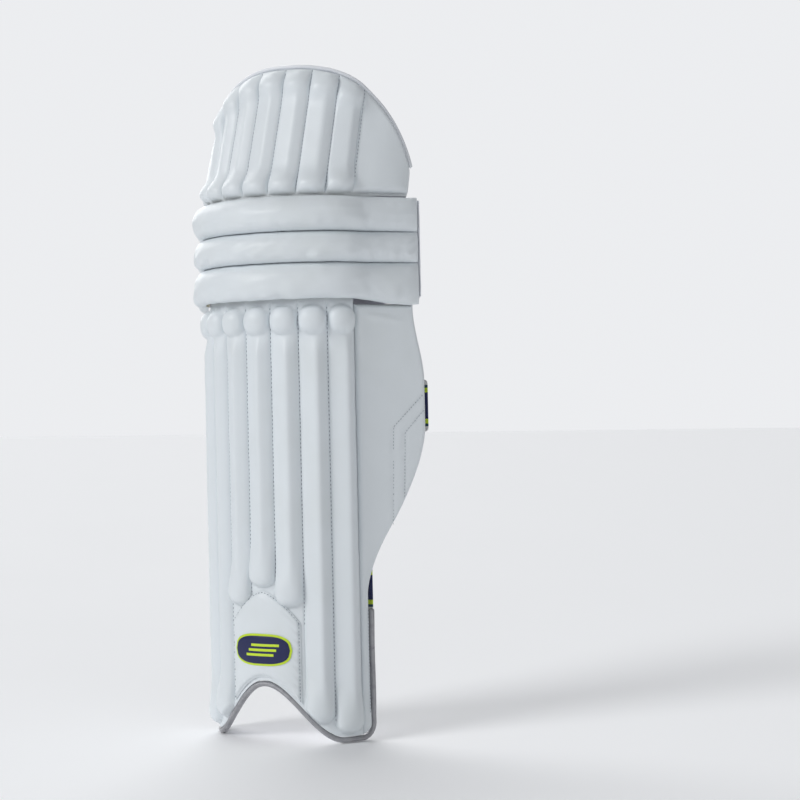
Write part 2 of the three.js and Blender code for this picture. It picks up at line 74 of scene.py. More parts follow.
right = Vector((math.cos(YAW), math.sin(YAW), 0))
ahead = Vector((-math.sin(YAW), math.cos(YAW), 0))
camera = bpy.data.objects.new("camera", bpy.data.cameras.new("camera"))
bpy.context.scene.collection.objects.link(camera)
camera.location = right * RIGHT_OF_LEG - ahead * DISTANCE + Vector((0, 0, CAMERA_HEIGHT))
camera.rotation_euler = ahead.to_track_quat("-Z", "Y").to_euler()
camera.rotation_euler.rotate_axis("Z", ROLL)
camera.data.lens = 79.3
bpy.context.scene.camera = camera


# ---- Numbers ----
def lerp(a, b, t):
    return a + (b - a) * t


def ramp(value, low, high):
    return np.clip((value - low) / (high - low), 0, 1)


def smooth(value, low, high):
    t = ramp(value, low, high)
    return t * t * (3 - 2 * t)


def dome(t):
    """1 at t = 0, falling on a quarter circle to 0 at t = 1."""
    return np.sqrt(np.clip(1 - t * t, 0, 1))


def ripple(s, z, wave, seed, octaves=4):
    """A smooth seeded unevenness from about -1 to 1, with bumps about wave mm across."""
    draw = np.random.default_rng(seed)
    total = np.zeros(np.broadcast(s, z).shape)
    for _ in range(3 * octaves):
        turn = draw.uniform(0, math.pi)
        length = wave * draw.uniform(0.7, 1.8)
        along = (s * math.cos(turn) + z * math.sin(turn)) / length * 2 * math.pi
        total += np.sin(along + draw.uniform(0, 2 * math.pi))
    return total / (1.5 * octaves)


def top_of(node):
    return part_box(node)[1].z / MM


def foot_of(node):
    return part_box(node)[0].z / MM


# ---- The face's section and heights, as in the CAD ----
FRONT_Y = -100
FLAT_HALF = 75
FLAT_RADIUS = 115
RIBBED_HALF = 105
SHOULDER_RADIUS = 60
CREASE = 18
OUTER_WING_ANGLE = math.radians(51)
INNER_WING_ANGLE = math.radians(85)
FOOT_SIDE_ANGLE = math.radians(64)

RIBS = 7
RIB_HALF = RIBBED_HALF / RIBS
INSTEP_HALF = 3 * RIB_HALF
INSTEP_TOP = 160
INSTEP_SHOULDER = 122
ARCH_HALF = 85
ARCH_RISE = 58
FOOT_CORNER = 12
FOOT_SIDE_HALF = 116
SOLE_Z = foot_of("shin_face_cover")
SHIN_TOP = top_of("outer_wing")
BINDING_TOP = 137
WING_FOOT = foot_of("outer_wing")
ROLL_EDGES = [foot_of("knee_backing_board"), 493, 525, 561]
KNEE_INNER = 160
KNEE_OUTER = 178
FLAP_FOOT = ROLL_EDGES[3]
FLAP_RISE = 139
FLAP_LEAN = math.tan(math.radians(17.5))
FLAP_TAPER = 0.03
FLAP_OUTER = {"half": 166, "power": 2.8, "root": 1.5, "stop": 168}
FLAP_INNER = {"half": 156, "power": 1.9, "root": 1.6, "stop": 156}

COVER = 1.6
GAP = 0.4
LINING_BACK = -17
EDGE_TAPER = 30


def walk(distance, side_angle):
    """One side of the section, through arcs of constant curvature from the centre line."""
    ribbed_angle = FLAT_HALF / FLAT_RADIUS + (RIBBED_HALF - FLAT_HALF) / SHOULDER_RADIUS
    arcs = [
        (FLAT_HALF, 1 / FLAT_RADIUS),
        (RIBBED_HALF - FLAT_HALF, 1 / SHOULDER_RADIUS),
        (CREASE, (side_angle - ribbed_angle) / CREASE),
        (1000, 0),
    ]
    x = np.zeros(distance.shape)
    y = np.zeros(distance.shape)
    angle = np.zeros(distance.shape)
    left = distance.copy()
    for length, curvature in arcs:
        step = np.minimum(left, length)
        half = curvature * step / 2
        chord = step * np.sinc(half / math.pi)
        x += chord * np.cos(angle + half)
        y += chord * np.sin(angle + half)
        angle = angle + 2 * half
        left = left - step
    return x, y, angle


def face_points(s, z, depth, side_angle):
    s, z, depth, side_angle = np.broadcast_arrays(s, z, depth, side_angle)
    x, y, angle = walk(np.abs(s).astype(float), side_angle)
    side = np.where(s < 0, -1, 1)
    return np.stack([side * (x + depth * np.sin(angle)), FRONT_Y + y - depth * np.cos(angle), z], -1)


def shin_zone(s, z, depth):
    outer = lerp(FOOT_SIDE_ANGLE, OUTER_WING_ANGLE, smooth(z, 185, 240))
    return face_points(s, z, depth, np.where(s > 0, outer, INNER_WING_ANGLE))


def knee_zone(s, z, depth):
    return face_points(s, z, depth, OUTER_WING_ANGLE)


def flap_zone(s, z, depth):
    points = face_points(s, z, depth, OUTER_WING_ANGLE)
    points[..., 1] += FLAP_LEAN * (points[..., 2] - FLAP_FOOT)
    return points


def sole_edge(s):
    reach = np.abs(s)
    arch = np.where(reach < ARCH_HALF, ARCH_RISE * np.cos(math.pi * s / (2 * ARCH_HALF)) ** 2, 0)
    past = np.clip(reach - (FOOT_SIDE_HALF - FOOT_CORNER), 0, FOOT_CORNER)
    return SOLE_Z + arch + FOOT_CORNER - np.sqrt(FOOT_CORNER ** 2 - past ** 2)


def instep_top(s):
    return lerp(INSTEP_TOP, INSTEP_SHOULDER, np.clip(np.abs(s) / INSTEP_HALF, 0, 1) ** 1.6)


def outer_edge(z):
    low = lerp(117, 184.5, smooth(z, 150, 325) ** 0.85)
    return low - lerp(0, 11.5, smooth(z, 370, SHIN_TOP))


def inner_edge(z):
    return -lerp(FOOT_SIDE_HALF, 134, smooth(z, 184, 250))


def by_side(s, key):
    """An outline number of the flap's outer or inner side."""
    return np.where(s > 0, FLAP_OUTER[key], FLAP_INNER[key])


def flap_edge(s):
    across = np.minimum(1, np.abs(s) / by_side(s, "half"))
    return FLAP_FOOT + FLAP_RISE * (1 - across ** by_side(s, "power")) ** (1 / by_side(s, "root"))


def knee_reach(s):
    """0 at the knee's centre line and 1 at either end."""
    return np.abs(s) / np.where(s > 0, KNEE_OUTER, KNEE_INNER)


def flap_narrow(z):
    return 1 - FLAP_TAPER * (z - FLAP_FOOT) / FLAP_RISE


# ---- Meshes ----
def new_piece(name, points, faces, places=None):
    """A mesh object from points in mm. Places become its UV map, in metres of cloth."""
    mesh = bpy.data.meshes.new(name)
    mesh.from_pydata((np.asarray(points).reshape(-1, 3) * MM).tolist(), [], [list(f) for f in faces])
    if places is not None:
        corner = np.zeros(len(mesh.loops), int)
        mesh.loops.foreach_get("vertex_index", corner)
        uv = mesh.uv_layers.new(name="UVMap")
        uv.data.foreach_set("uv", (np.asarray(places)[corner] * MM).astype(np.float32).ravel())
    mesh.shade_smooth()
    mesh.set_sharp_from_angle(angle=math.radians(55))
    mesh.validate()
    obj = bpy.data.objects.new(name, mesh)
    bpy.context.scene.collection.objects.link(obj)
    return obj


def grid_body(name, zone, s, z, front, back):
    """A closed body between two depths over one grid of places."""
    s, z, front, back = np.broadcast_arrays(s, z, front, back)
    rows, columns = s.shape
    count = rows * columns
    index = np.arange(count).reshape(rows, columns)
    quads = np.stack([index[:-1, :-1], index[:-1, 1:], index[1:, 1:], index[1:, :-1]], -1).reshape(-1, 4)
    rim = np.concatenate([index[0, :-1], index[:-1, -1], index[-1, :0:-1], index[:0:-1, 0]])
    following = np.roll(rim, -1)
    walls = np.stack([following, rim, rim + count, following + count], -1)
    faces = np.concatenate([quads, quads[:, ::-1] + count, walls])
    points = np.concatenate([zone(s, z, front).reshape(-1, 3), zone(s, z, back).reshape(-1, 3)])
    places = np.stack([s.ravel(), z.ravel()], -1)
    return new_piece(name, points, faces.tolist(), np.concatenate([places, places]))


def spread(count):
    """Steps from 0 to 1, closer together towards both ends."""
    t = np.linspace(0, 1, count)
    return lerp(t, 0.5 - 0.5 * np.cos(math.pi * t), 0.55)


def area(left, right, bottom, top, step=2.0):
    """A grid of places. Each side is a number, or a function: left and right of z, bottom and top of s."""
    def at(side, where):
        return side(where) if callable(side) else side + 0 * where

    level = (at(bottom, np.array(0.0)) + at(top, np.array(0.0))) / 2
    width = float(at(right, level) - at(left, level))
    height = float(at(top, np.array(0.0)) - at(bottom, np.array(0.0)))
    u = spread(int(width / step) + 3)[None, :]
    v = spread(int(height / step) + 3)[:, None]
    s = lerp(float(at(left, level)), float(at(right, level)), u) + 0 * v
    z = lerp(at(bottom, s), at(top, s), v)
    if callable(left) or callable(right):
        s = lerp(at(left, z), at(right, z), u)
    return s, z


def rim_distance(s, z):
    """Distance from each place in a grid to the grid's nearest side."""
    across = np.minimum(s - s[:, :1], s[:, -1:] - s)
    return np.minimum(across, np.minimum(z - z[:1], z[-1:] - z))


def rounded(s, z, front, back, radius):
    """Both depths drawn together towards the sides of the grid, as a rolled edge."""
    share = np.maximum(0.08, dome(1 - ramp(rim_distance(s, z), 0, radius)))
    middle = (front + back) / 2
    return lerp(middle, front, share), lerp(middle, back, share)


def tube(name, path, radius, sides=14, flatten=1.0, out=None):
    """A closed cord along a path in mm, with domed ends, thinned by flatten along out at each point."""
    path = np.asarray(path, float)
    along = np.gradient(path, axis=0)
    along /= np.linalg.norm(along, axis=1, keepdims=True)
    if out is None:
        out = np.tile([0.0, 0.0, 1.0], (len(path), 1))
    side = np.cross(along, out)
    side /= np.linalg.norm(side, axis=1, keepdims=True)
    out = np.cross(side, along)
    length = np.concatenate([[0], np.cumsum(np.linalg.norm(np.diff(path, axis=0), axis=1))])
    ends = np.minimum(length, length[-1] - length)
    thick = radius * np.maximum(0.05, dome(1 - ramp(ends, 0, radius)))
    turn = np.linspace(0, 2 * math.pi, sides, endpoint=False)
    rings = (path[:, None] + thick[:, None, None] * (
        np.cos(turn)[None, :, None] * side[:, None] + flatten * np.sin(turn)[None, :, None] * out[:, None]))
    index = np.arange(len(path) * sides).reshape(len(path), sides)
    across = np.roll(index, -1, axis=1)
    quads = np.stack([index[:-1], across[:-1], across[1:], index[1:]], -1).reshape(-1, 4).tolist()
    faces = quads + [index[0, ::-1].tolist(), index[-1].tolist()]
    places = np.stack([np.repeat(length, sides), np.tile(turn * radius, len(path))], -1)
    return new_piece(name, rings.reshape(-1, 3), faces, places)


def resample(points, pitch):
    points = np.asarray(points, float)
    length = np.concatenate([[0], np.cumsum(np.linalg.norm(np.diff(points, axis=0), axis=1))])
    where = np.linspace(0, length[-1], max(2, int(round(length[-1] / pitch)) + 1))
    return np.stack([np.interp(where, length, points[:, k]) for k in range(points.shape[1])], -1)


def stitches(name, zone, lines, pitch=4.0, length=2.4, radius=0.42):
    """Short thread beads along lines of (s, z, depth) places, all in one piece."""
    turn = np.linspace(0, 2 * math.pi, 6, endpoint=False)
    template = [(-0.5, 0, 0)]
    for reach, wide in ((-0.36, 0.8), (0, 1.0), (0.36, 0.8)):
        template += [(reach, wide * math.cos(a), wide * math.sin(a)) for a in turn]
    template.append((0.5, 0, 0))
    template = np.array(template)
    faces = [(0, 1 + (k + 1) % 6, 1 + k) for k in range(6)]
    for ring in (0, 1):
        low = 1 + 6 * ring
        faces += [(low + k, low + (k + 1) % 6, low + 6 + (k + 1) % 6, low + 6 + k) for k in range(6)]
    faces += [(19, 13 + k, 13 + (k + 1) % 6) for k in range(6)]
    points = []
    all_faces = []
    for line in lines:
        places = resample(line, pitch)
        centre = zone(places[:, 0], places[:, 1], places[:, 2])
        out = zone(places[:, 0], places[:, 1], places[:, 2] + 1) - centre
        along = np.gradient(centre, axis=0)
        along /= np.linalg.norm(along, axis=1, keepdims=True)
        side = np.cross(along, out)
        side /= np.linalg.norm(side, axis=1, keepdims=True)
        for here, a, b, c in zip(centre, along, side, np.cross(side, along)):
            base = 20 * len(points)
            points.append(here + template[:, :1] * length * a + radius * (
                template[:, 1:2] * b + template[:, 2:3] * c))
            all_faces += [tuple(base + k for k in f) for f in faces]
    return new_piece(name, np.concatenate(points), all_faces)


def subdivided(obj):
    """The piece with one level of subdivision applied."""
    obj.modifiers.new("fine", "SUBSURF").levels = 1
    shape = obj.evaluated_get(bpy.context.evaluated_depsgraph_get())
    mesh = bpy.data.meshes.new_from_object(shape)
    obj.modifiers.clear()
    obj.data = mesh
    return obj


def inflate(obj, held, pressure=4.0, cap=6.0, stiffness=12.0):
    """Cloth blown up from inside, with the held vertices fixed and no vertex moving more than cap mm."""
    group = obj.vertex_groups.new(name="held")
    group.add([int(i) for i in np.nonzero(held)[0]], 1.0, "REPLACE")
    cloth = obj.modifiers.new("cloth", "CLOTH")
    cloth.settings.vertex_group_mass = "held"
    cloth.settings.quality = 4
    cloth.settings.mass = 0.2
    cloth.settings.tension_stiffness = stiffness
    cloth.settings.compression_stiffness = stiffness
    cloth.settings.shear_stiffness = stiffness / 3
    cloth.settings.bending_stiffness = 0.4
    cloth.settings.use_pressure = True
    cloth.settings.uniform_pressure_force = pressure
    cloth.settings.effector_weights.gravity = 0
    cloth.collision_settings.use_collision = False
    start = np.array([v.co for v in obj.data.vertices])
    scene = bpy.context.scene
    for step in range(1, 21):
        scene.frame_set(step)
    shape = obj.evaluated_get(bpy.context.evaluated_depsgraph_get())
    moved = np.array([v.co for v in shape.data.vertices]) - start
    obj.modifiers.clear()
    obj.vertex_groups.clear()
    reach = np.linalg.norm(moved, axis=1, keepdims=True) / MM
    moved *= np.minimum(1, cap / np.maximum(reach, 1e-6))
    obj.data.vertices.foreach_set("co", (start + moved).astype(np.float32).ravel())
    scene.frame_set(1)
    return obj


# ---- Materials ----
def rgb(r, g, b):
    """A linear colour from 0-255 screen values."""
    return [((c / 255 + 0.055) / 1.055) ** 2.4 if c > 10 else c / 255 / 12.92 for c in (r, g, b)] + [1.0]


class Look:
    """A node-based material, built up by small steps."""

    def __init__(self, name, colour, roughness, **sockets):
        self.material = bpy.data.materials.new(name)
        self.material.use_nodes = True
        self.tree = self.material.node_tree
        self.shader = self.tree.nodes["Principled BSDF"]
        self.colour = colour
        self.shader.inputs["Base Color"].default_value = colour
        self.shader.inputs["Roughness"].default_value = roughness
        for socket, value in sockets.items():
            self.shader.inputs[socket.replace("_", " ")].default_value = value
        self.place = self.node("ShaderNodeTexCoord").outputs["UV"]
        self.solid = self.node("ShaderNodeTexCoord").outputs["Object"]

    def node(self, kind, inputs=None, **settings):
        made = self.tree.nodes.new(kind)
        for key, value in settings.items():
            setattr(made, key, value)
        for key, value in (inputs or {}).items():
            if isinstance(value, bpy.types.NodeSocket):
                self.tree.links.new(value, made.inputs[key])
            else:
                made.inputs[key].default_value = value
        return made

    def math(self, operation, a, b=0.0, c=0.0):
        return self.node("ShaderNodeMath", {0: a, 1: b, 2: c}, operation=operation).outputs[0]

    def noise(self, scale, detail=3.0, where=None):
        inputs = {"Vector": where or self.solid, "Scale": scale, "Detail": detail}
        return self.node("ShaderNodeTexNoise", inputs).outputs["Fac"]

    def cells(self, scale, where=None, feature="F1"):
        inputs = {"Vector": where or self.solid, "Scale": scale}
        return self.node("ShaderNodeTexVoronoi", inputs, feature=feature).outputs["Distance"]

    def axes(self, where=None):
        return self.node("ShaderNodeSeparateXYZ", {0: where or self.place}).outputs

    def wave(self, along, pitch_mm, phase=0.0):
        """A cosine along a socket in metres, from -1 to 1."""
        turned = self.math("MULTIPLY_ADD", along, 2 * math.pi / (pitch_mm * MM), phase)
        return self.math("COSINE", turned)

    def step(self, value, low, high):
        inputs = {0: value, 1: low, 2: high}
        return self.node("ShaderNodeMapRange", inputs, interpolation_type="SMOOTHSTEP").outputs[0]

    def mix(self, share, a, b):
        made = self.node("ShaderNodeMix", {0: share, 6: a, 7: b}, data_type="RGBA")
        return made.outputs[2]

    def paint(self, share, colour):
        """Lays a colour over what is there, by share."""
        self.colour = self.mix(share, self.colour, colour)
        self.tree.links.new(self.colour, self.shader.inputs["Base Color"])
        return self

    def rough(self, value, low, high):
        made = self.node("ShaderNodeMapRange", {0: value, 3: low, 4: high}).outputs[0]
        self.tree.links.new(made, self.shader.inputs["Roughness"])
        return self

    def bump(self, height, depth_mm, strength=1.0):
        inputs = {"Height": height, "Distance": depth_mm * MM, "Strength": strength}
        last = self.shader.inputs["Normal"].links
        if last:
            inputs["Normal"] = last[0].from_socket
        made = self.node("ShaderNodeBump", inputs)
        self.tree.links.new(made.outputs[0], self.shader.inputs["Normal"])
        return self


PU_WHITE = rgb(226, 232, 236)
SATIN_WHITE = rgb(226, 226, 236)
NAVY = rgb(8, 24, 84)
LIME = rgb(205, 232, 48)
TEAL = rgb(0, 62, 82)
PLUM = rgb(48, 40, 76)


def pu_look(name, colour, roughness=0.4, grain=0.05):
    """Coated cover: a faint pebble grain, uneven gloss and slight yellowing in patches."""
    look = Look(name, colour, roughness, Coat_Weight=0.12, Coat_Roughness=0.35, Specular_IOR_Level=0.42)
    patches = look.noise(14, 4)
    shade = [c * 0.9 for c in colour[:2]] + [colour[2] * 0.87, 1]
    look.paint(look.math("MULTIPLY", look.step(patches, 0.45, 0.75), 0.35), shade)
    look.rough(look.noise(60, 3), roughness - 0.07, roughness + 0.12)
    look.bump(look.cells(1400, feature="SMOOTH_F1"), grain)
    look.bump(look.noise(230, 3), grain * 1.5)
    return look


def satin_look(name):
    """Smooth woven lining: fine crossed threads, soft sheen, slack creases."""
    look = Look(name, SATIN_WHITE, 0.42, Sheen_Weight=0.35, Sheen_Roughness=0.4, Specular_IOR_Level=0.45)
    x, y, _ = look.axes()
    threads = look.math("MULTIPLY", look.wave(x, 0.55), look.wave(y, 0.7))
    look.paint(look.math("MULTIPLY", look.step(look.noise(20), 0.4, 0.7), 0.25), rgb(208, 208, 224))
    look.rough(look.noise(45, 3), 0.34, 0.52)
    look.bump(threads, 0.035)
    look.bump(look.noise(70, 4), 0.35, 0.5)
    return look


def mesh_look(name, pitch=3.4):
    """Warp-knit spacer mesh above a plain cover with a slanting seam; its holes are painted near black and
    ringed with grey, as painted shade.
    """
    look = Look(name, rgb(228, 229, 230), 0.75, Sheen_Weight=0.3)
    x, y, _ = look.axes()
    lattice = look.math("MULTIPLY", look.wave(x, pitch * 1.25), look.wave(y, pitch * 1.45))
    slant = look.math("MULTIPLY_ADD", look.math("ABSOLUTE", x), MESH_SLANT, y)
    meshed = look.step(slant, MESH_FOOT * MM, (MESH_FOOT + 0.4) * MM)
    shaded_hole = look.math("MULTIPLY", look.step(lattice, 0.2, 0.5), meshed)
    # Painted shade: a soft grey ring that deepens into the holes.
    shade = look.math("MULTIPLY", look.step(lattice, -0.4, 0.2), meshed)
    look.paint(look.math("MULTIPLY", shade, 0.18), rgb(170, 172, 178))
    # Painted shade: the holes are painted near black where their depth lies in shade.
    look.paint(shaded_hole, rgb(44, 46, 52))
    below = look.step(slant, (MESH_FOOT - 1.5) * MM, MESH_FOOT * MM)
    above = look.math("SUBTRACT", 1.0, look.step(slant, MESH_FOOT * MM, (MESH_FOOT + 1.5) * MM))
    look.bump(look.math("MULTIPLY", look.math("MULTIPLY", below, above), -1.0), 0.8)
    knit = look.math("MULTIPLY", look.math("MULTIPLY", look.wave(x, 0.5), look.wave(y, 0.62)), meshed)
    look.bump(knit, 0.05)
    look.bump(look.math("MULTIPLY", shaded_hole, -1.0), 0.7)
    return look


def embossed_look(name):
    """White locator mesh with diagonal raised threads; the grooves between them get grey painted shade."""
    look = Look(name, rgb(232, 233, 236), 0.6, Sheen_Weight=0.3)
    x, y, _ = look.axes()
    up = look.wave(look.math("ADD", x, y), 3.0)
    down = look.wave(look.math("SUBTRACT", x, y), 3.0)
    lattice = look.math("MAXIMUM", up, down)
    groove_shade = look.step(look.math("MULTIPLY", lattice, -1.0), 0.1, 0.9)
    # Painted shade: the grooves between the raised threads are painted grey.
    look.paint(look.math("MULTIPLY", groove_shade, 0.75), rgb(176, 180, 190))
    look.bump(lattice, 0.35)
    return look


def brushed_look(name):
    """Grey brushed lining with a short nap."""
    look = Look(name, rgb(168, 163, 173), 0.95, Sheen_Weight=0.7, Sheen_Roughness=0.5, Specular_IOR_Level=0.2)
    look.paint(look.step(look.noise(420, 5), 0.35, 0.7), rgb(140, 136, 146))
    look.paint(look.math("MULTIPLY", look.step(look.noise(35), 0.45, 0.65), 0.4), rgb(186, 182, 190))
    look.bump(look.noise(900, 4), 0.35)
    return look


def piping_look(name):
    """Silver-grey coated edge tape with fine cross lines."""
    look = Look(name, rgb(164, 164, 168), 0.3, Metallic=0.35, Coat_Weight=0.3, Coat_Roughness=0.25)
    along = look.axes()[0]
    look.paint(look.math("MULTIPLY", look.step(look.noise(180, 4), 0.4, 0.7), 0.5), rgb(132, 132, 138))
    look.rough(look.noise(120, 3), 0.22, 0.42)
    look.bump(look.wave(along, 1.1), 0.06)
    return look


def webbing_look(name, width):
    """Striped strap webbing: white selvedge, teal, lime, wide navy, with a painted highlight on the raised
    threads of the weave and painted shade in its hollows. The UV runs along it and across it.
    """
    look = Look(name, rgb(232, 232, 232), 0.78, Sheen_Weight=0.25, Specular_IOR_Level=0.3)
    along, across, _ = look.axes()
    inward = look.math("SUBTRACT", width / 2 * MM, look.math("ABSOLUTE", across))
    share = width / 51
    bands = [(5.2, TEAL), (8.0, LIME), (12.6, NAVY)]
    for start, colour in bands:
        edge = start * share * MM
        look.paint(look.step(inward, edge - 0.15 * MM, edge + 0.15 * MM), colour)
    weave_relief = look.math("MULTIPLY", look.wave(along, 1.5), look.wave(across, 1.25))
    # Painted highlight: pale blue on the raised threads of the weave, where its bump is highest.
    look.paint(look.math("MULTIPLY", look.step(weave_relief, 0.45, 0.9), 0.16), rgb(190, 200, 225))
    # Painted shade: near black in the hollows of the weave, where its bump is lowest.
    weave_hollow_shade = look.step(look.math("MULTIPLY", weave_relief, -1.0), 0.3, 0.9)
    look.paint(look.math("MULTIPLY", weave_hollow_shade, 0.35), rgb(2, 5, 20))
    look.bump(weave_relief, 0.28)
    look.bump(look.wave(across, 3.75), 0.12)
    return look


def strip_look(name, fade_top, fade_foot):
    """Plum centre strip that ends in a lime point, over white with small fading lozenges."""
    look = Look(name, SATIN_WHITE, 0.45, Sheen_Weight=0.3, Specular_IOR_Level=0.4)
    x, y, _ = look.axes()
    pitch = 9.0
    cell = look.math("MULTIPLY", look.wave(x, pitch * 1.2), look.wave(y, pitch))
    fade = look.step(y, fade_top * MM, fade_foot * MM)
    lozenge = look.step(cell, 0.45, 0.6)
    look.paint(look.math("MULTIPLY", lozenge, look.math("MULTIPLY_ADD", fade, 0.8, 0.12)), PLUM)
    tip = look.math("ADD", y, look.math("MULTIPLY", look.math("ABSOLUTE", x), 0.45))
    look.paint(look.step(tip, (STRIP_POINT - 8) * MM, (STRIP_POINT - 7.6) * MM), rgb(165, 230, 70))
    look.paint(look.step(tip, STRIP_POINT * MM, (STRIP_POINT + 0.4) * MM), PLUM)
    threads = look.math("MULTIPLY", look.wave(x, 0.6), look.wave(y, 0.75))
    look.rough(look.noise(50, 3), 0.38, 0.6)
    look.bump(threads, 0.04)
    return look


def flap_lining_look(name):
    """Satin with a plain printed block of level bars that thin out downwards and end on one slant."""
    look = satin_look(name)
    x, y, _ = look.axes()
    height = look.math("SUBTRACT", PRINT_TOP * MM, y)
    bar = look.wave(height, PRINT_PITCH)
    thin = look.step(height, 0.0, PRINT_DROP * MM)
    ink = look.step(look.math("SUBTRACT", bar, look.math("MULTIPLY_ADD", thin, 1.25, -0.35)), 0.0, 0.08)
    slant = look.math("MULTIPLY_ADD", height, 0.55, x)
    inside = look.math("MULTIPLY", look.step(slant, PRINT_LEFT * MM, (PRINT_LEFT + 0.5) * MM),
                       look.step(look.math("MULTIPLY", slant, -1.0),
                                 -PRINT_RIGHT * MM, (0.5 - PRINT_RIGHT) * MM))
    shown = look.math("MULTIPLY", look.step(height, 0.0, 0.3 * MM),
                      look.step(look.math("MULTIPLY", height, -1.0),
                                -PRINT_DROP * MM, (0.3 - PRINT_DROP) * MM))
    area_share = look.math("MULTIPLY", inside, shown)
    look.paint(look.math("MULTIPLY", ink, area_share), NAVY)
    edge = look.math("MULTIPLY", look.step(slant, (PRINT_RIGHT + 1.0) * MM, (PRINT_RIGHT + 1.3) * MM),
                     look.step(look.math("MULTIPLY", slant, -1.0),
                               -(PRINT_RIGHT + 3.4) * MM, -(PRINT_RIGHT + 3.1) * MM))
    look.paint(look.math("MULTIPLY", edge, shown), LIME)
    return look


def fibre_look(name, colour, pale, scale, bump, roughness=0.9, sheen=0.3):
    """Short fibres or bristles: speckled colour and a rough surface."""
    look = Look(name, colour, roughness, Sheen_Weight=sheen)
    look.paint(look.step(look.noise(scale, 5), 0.4, 0.65), pale)
    look.bump(look.cells(scale * 2), bump)
    look.bump(look.noise(scale * 3, 3), bump)
    return look


def moulded_look(name, colour, roughness):
    """Moulded plastic: faint orange-peel, worn gloss."""
    look = Look(name, colour, roughness, Coat_Weight=0.15, Coat_Roughness=0.3)
    look.rough(look.noise(90, 4), roughness - 0.08, roughness + 0.12)
    shade = [c * 0.8 for c in colour[:3]] + [1]
    look.paint(look.math("MULTIPLY", look.step(look.noise(240, 4), 0.5, 0.75), 0.3), shade)
    look.bump(look.noise(700, 2), 0.04)
    return look


STRIP_POINT = 278
MESH_FOOT = 248
MESH_SLANT = 0.42
PRINT_TOP = 676
PRINT_PITCH = 7.2
PRINT_DROP = 92
PRINT_LEFT = -96
PRINT_RIGHT = -34

pu = pu_look("pu_cover", PU_WHITE)
pu_edge = pu_look("pu_edge", rgb(230, 233, 238), 0.36, 0.03)
satin = satin_look("satin_lining")
spacer_mesh = mesh_look("spacer_mesh")
locator_mesh = embossed_look("locator_mesh")
brushed = brushed_look("brushed_lining")
silver = piping_look("silver_binding")
foam = fibre_look("foam", rgb(216, 210, 184), rgb(196, 188, 158), 500, 0.5, 0.95, 0.1)
cane = fibre_look("cane", rgb(201, 172, 114), rgb(170, 138, 84), 180, 0.1, 0.6, 0.0)
thread = fibre_look("thread", rgb(168, 176, 184), rgb(120, 128, 138), 900, 0.06, 0.7, 0.2)
white_thread = fibre_look("white_thread", rgb(235, 235, 238), rgb(200, 200, 208), 900, 0.06, 0.7, 0.2)
hook = fibre_look("hook_patch", rgb(24, 25, 30), rgb(58, 60, 66), 700, 0.5)
loop = fibre_look("loop_patch", rgb(236, 236, 234), rgb(206, 206, 206), 600, 0.5, 0.95, 0.6)
plastic = moulded_look("slider_plastic", rgb(226, 226, 220), 0.32)
dark_plastic = moulded_look("slider_bar", rgb(74, 70, 80), 0.4)
badge_navy = moulded_look("badge_navy", rgb(10, 22, 78), 0.34)
badge_lime = moulded_look("badge_lime", LIME, 0.36)
badge_grey = moulded_look("badge_grey", rgb(150, 152, 156), 0.4)
badge_black = moulded_look("badge_black", rgb(20, 20, 24), 0.35)
badge_light = moulded_look("badge_light", rgb(206, 208, 212), 0.38)


def dress(obj, look, body=None, stands_for=()):
    """Gives a piece its material and body, and hides the CAD nodes that it stands for."""
    obj.data.materials.clear()
    obj.data.materials.append(look.material)
    if body:
        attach(obj, body)
    if stands_for:
        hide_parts(*stands_for)
    return obj


# ---- Shin face ----
KNOB_Z = 433.5
KNOB_HALF = 15.5
KNOB_RISE = 11.5
RIDGE_TOP = 420
CREST_LEAN = 0.24


def rib_at(s):
    """Which rib a place is on, its centre, and where it is across the rib from -1 to 1."""
    index = np.clip(np.floor((s + RIBBED_HALF) / (2 * RIB_HALF)), 0, RIBS - 1)
    centre = (index - (RIBS - 1) / 2) * 2 * RIB_HALF
    return index, centre, np.clip((s - centre) / RIB_HALF, -1, 1)


def ridge(across):
    """A rib's roof-shaped section, with its crest towards the outer side."""
    lean = across - CREST_LEAN * (1 - across ** 2)
    soft = np.sqrt(lean ** 2 + 0.0016) - 0.04
    return np.clip(1 - soft / 0.96, 0, 1) ** 0.94


def rib_foot(centre):
    """Height of the middle of the round end of a rib."""
    on_instep = np.abs(centre) < INSTEP_HALF
    return np.where(on_instep, instep_top(centre) + 15, sole_edge(centre) + 17)


def bulge(across, up, square=2.0):
    """A rounded lump over -1 to 1 both ways; a higher square fills its corners."""
    return np.clip(1 - np.abs(across) ** square - np.abs(up) ** square, 0, 1) ** 0.5


def shin_height(s, z):
    _, centre, across = rib_at(s)
    foot = rib_foot(centre)
    end_half = 14.0
    swell = 10.5 * bulge(across * 0.99, ramp(foot - z, 0, end_half), 2.3)
    rib = 8.4 * ridge(across)
    low_end = lerp(rib, swell, 1 - smooth(z - foot, 0, 38))
    # Under each knob the crest flattens out into a shallow triangle.
    fade = lerp(1, 0.42, smooth(z, RIDGE_TOP - 24, RIDGE_TOP))
    ridged = low_end * fade + 1.2 * smooth(z, RIDGE_TOP - 26, RIDGE_TOP - 8) * (1 - across ** 6)
    ridged = ridged * (1 - 0.8 * smooth(z, RIDGE_TOP + 12, RIDGE_TOP + 26))
    knob = KNOB_RISE * bulge(across / 0.97, (z - KNOB_Z) / KNOB_HALF, 2.3)
    seam = 1.3 * smooth(np.abs(across), 0.88, 1.0) * smooth(z, sole_edge(s) + 4, sole_edge(s) + 14)
    raised = np.maximum(ridged, knob) + 0.3 * ripple(s, z, 34, 3)
    edge = smooth(z - sole_edge(s), 0, 5) * (1 - 0.9 * smooth(z, 449, 455))
    return raised * edge - seam * (1 - smooth(z, 449, 455)) - 1.2 * smooth(z, 450, 456)


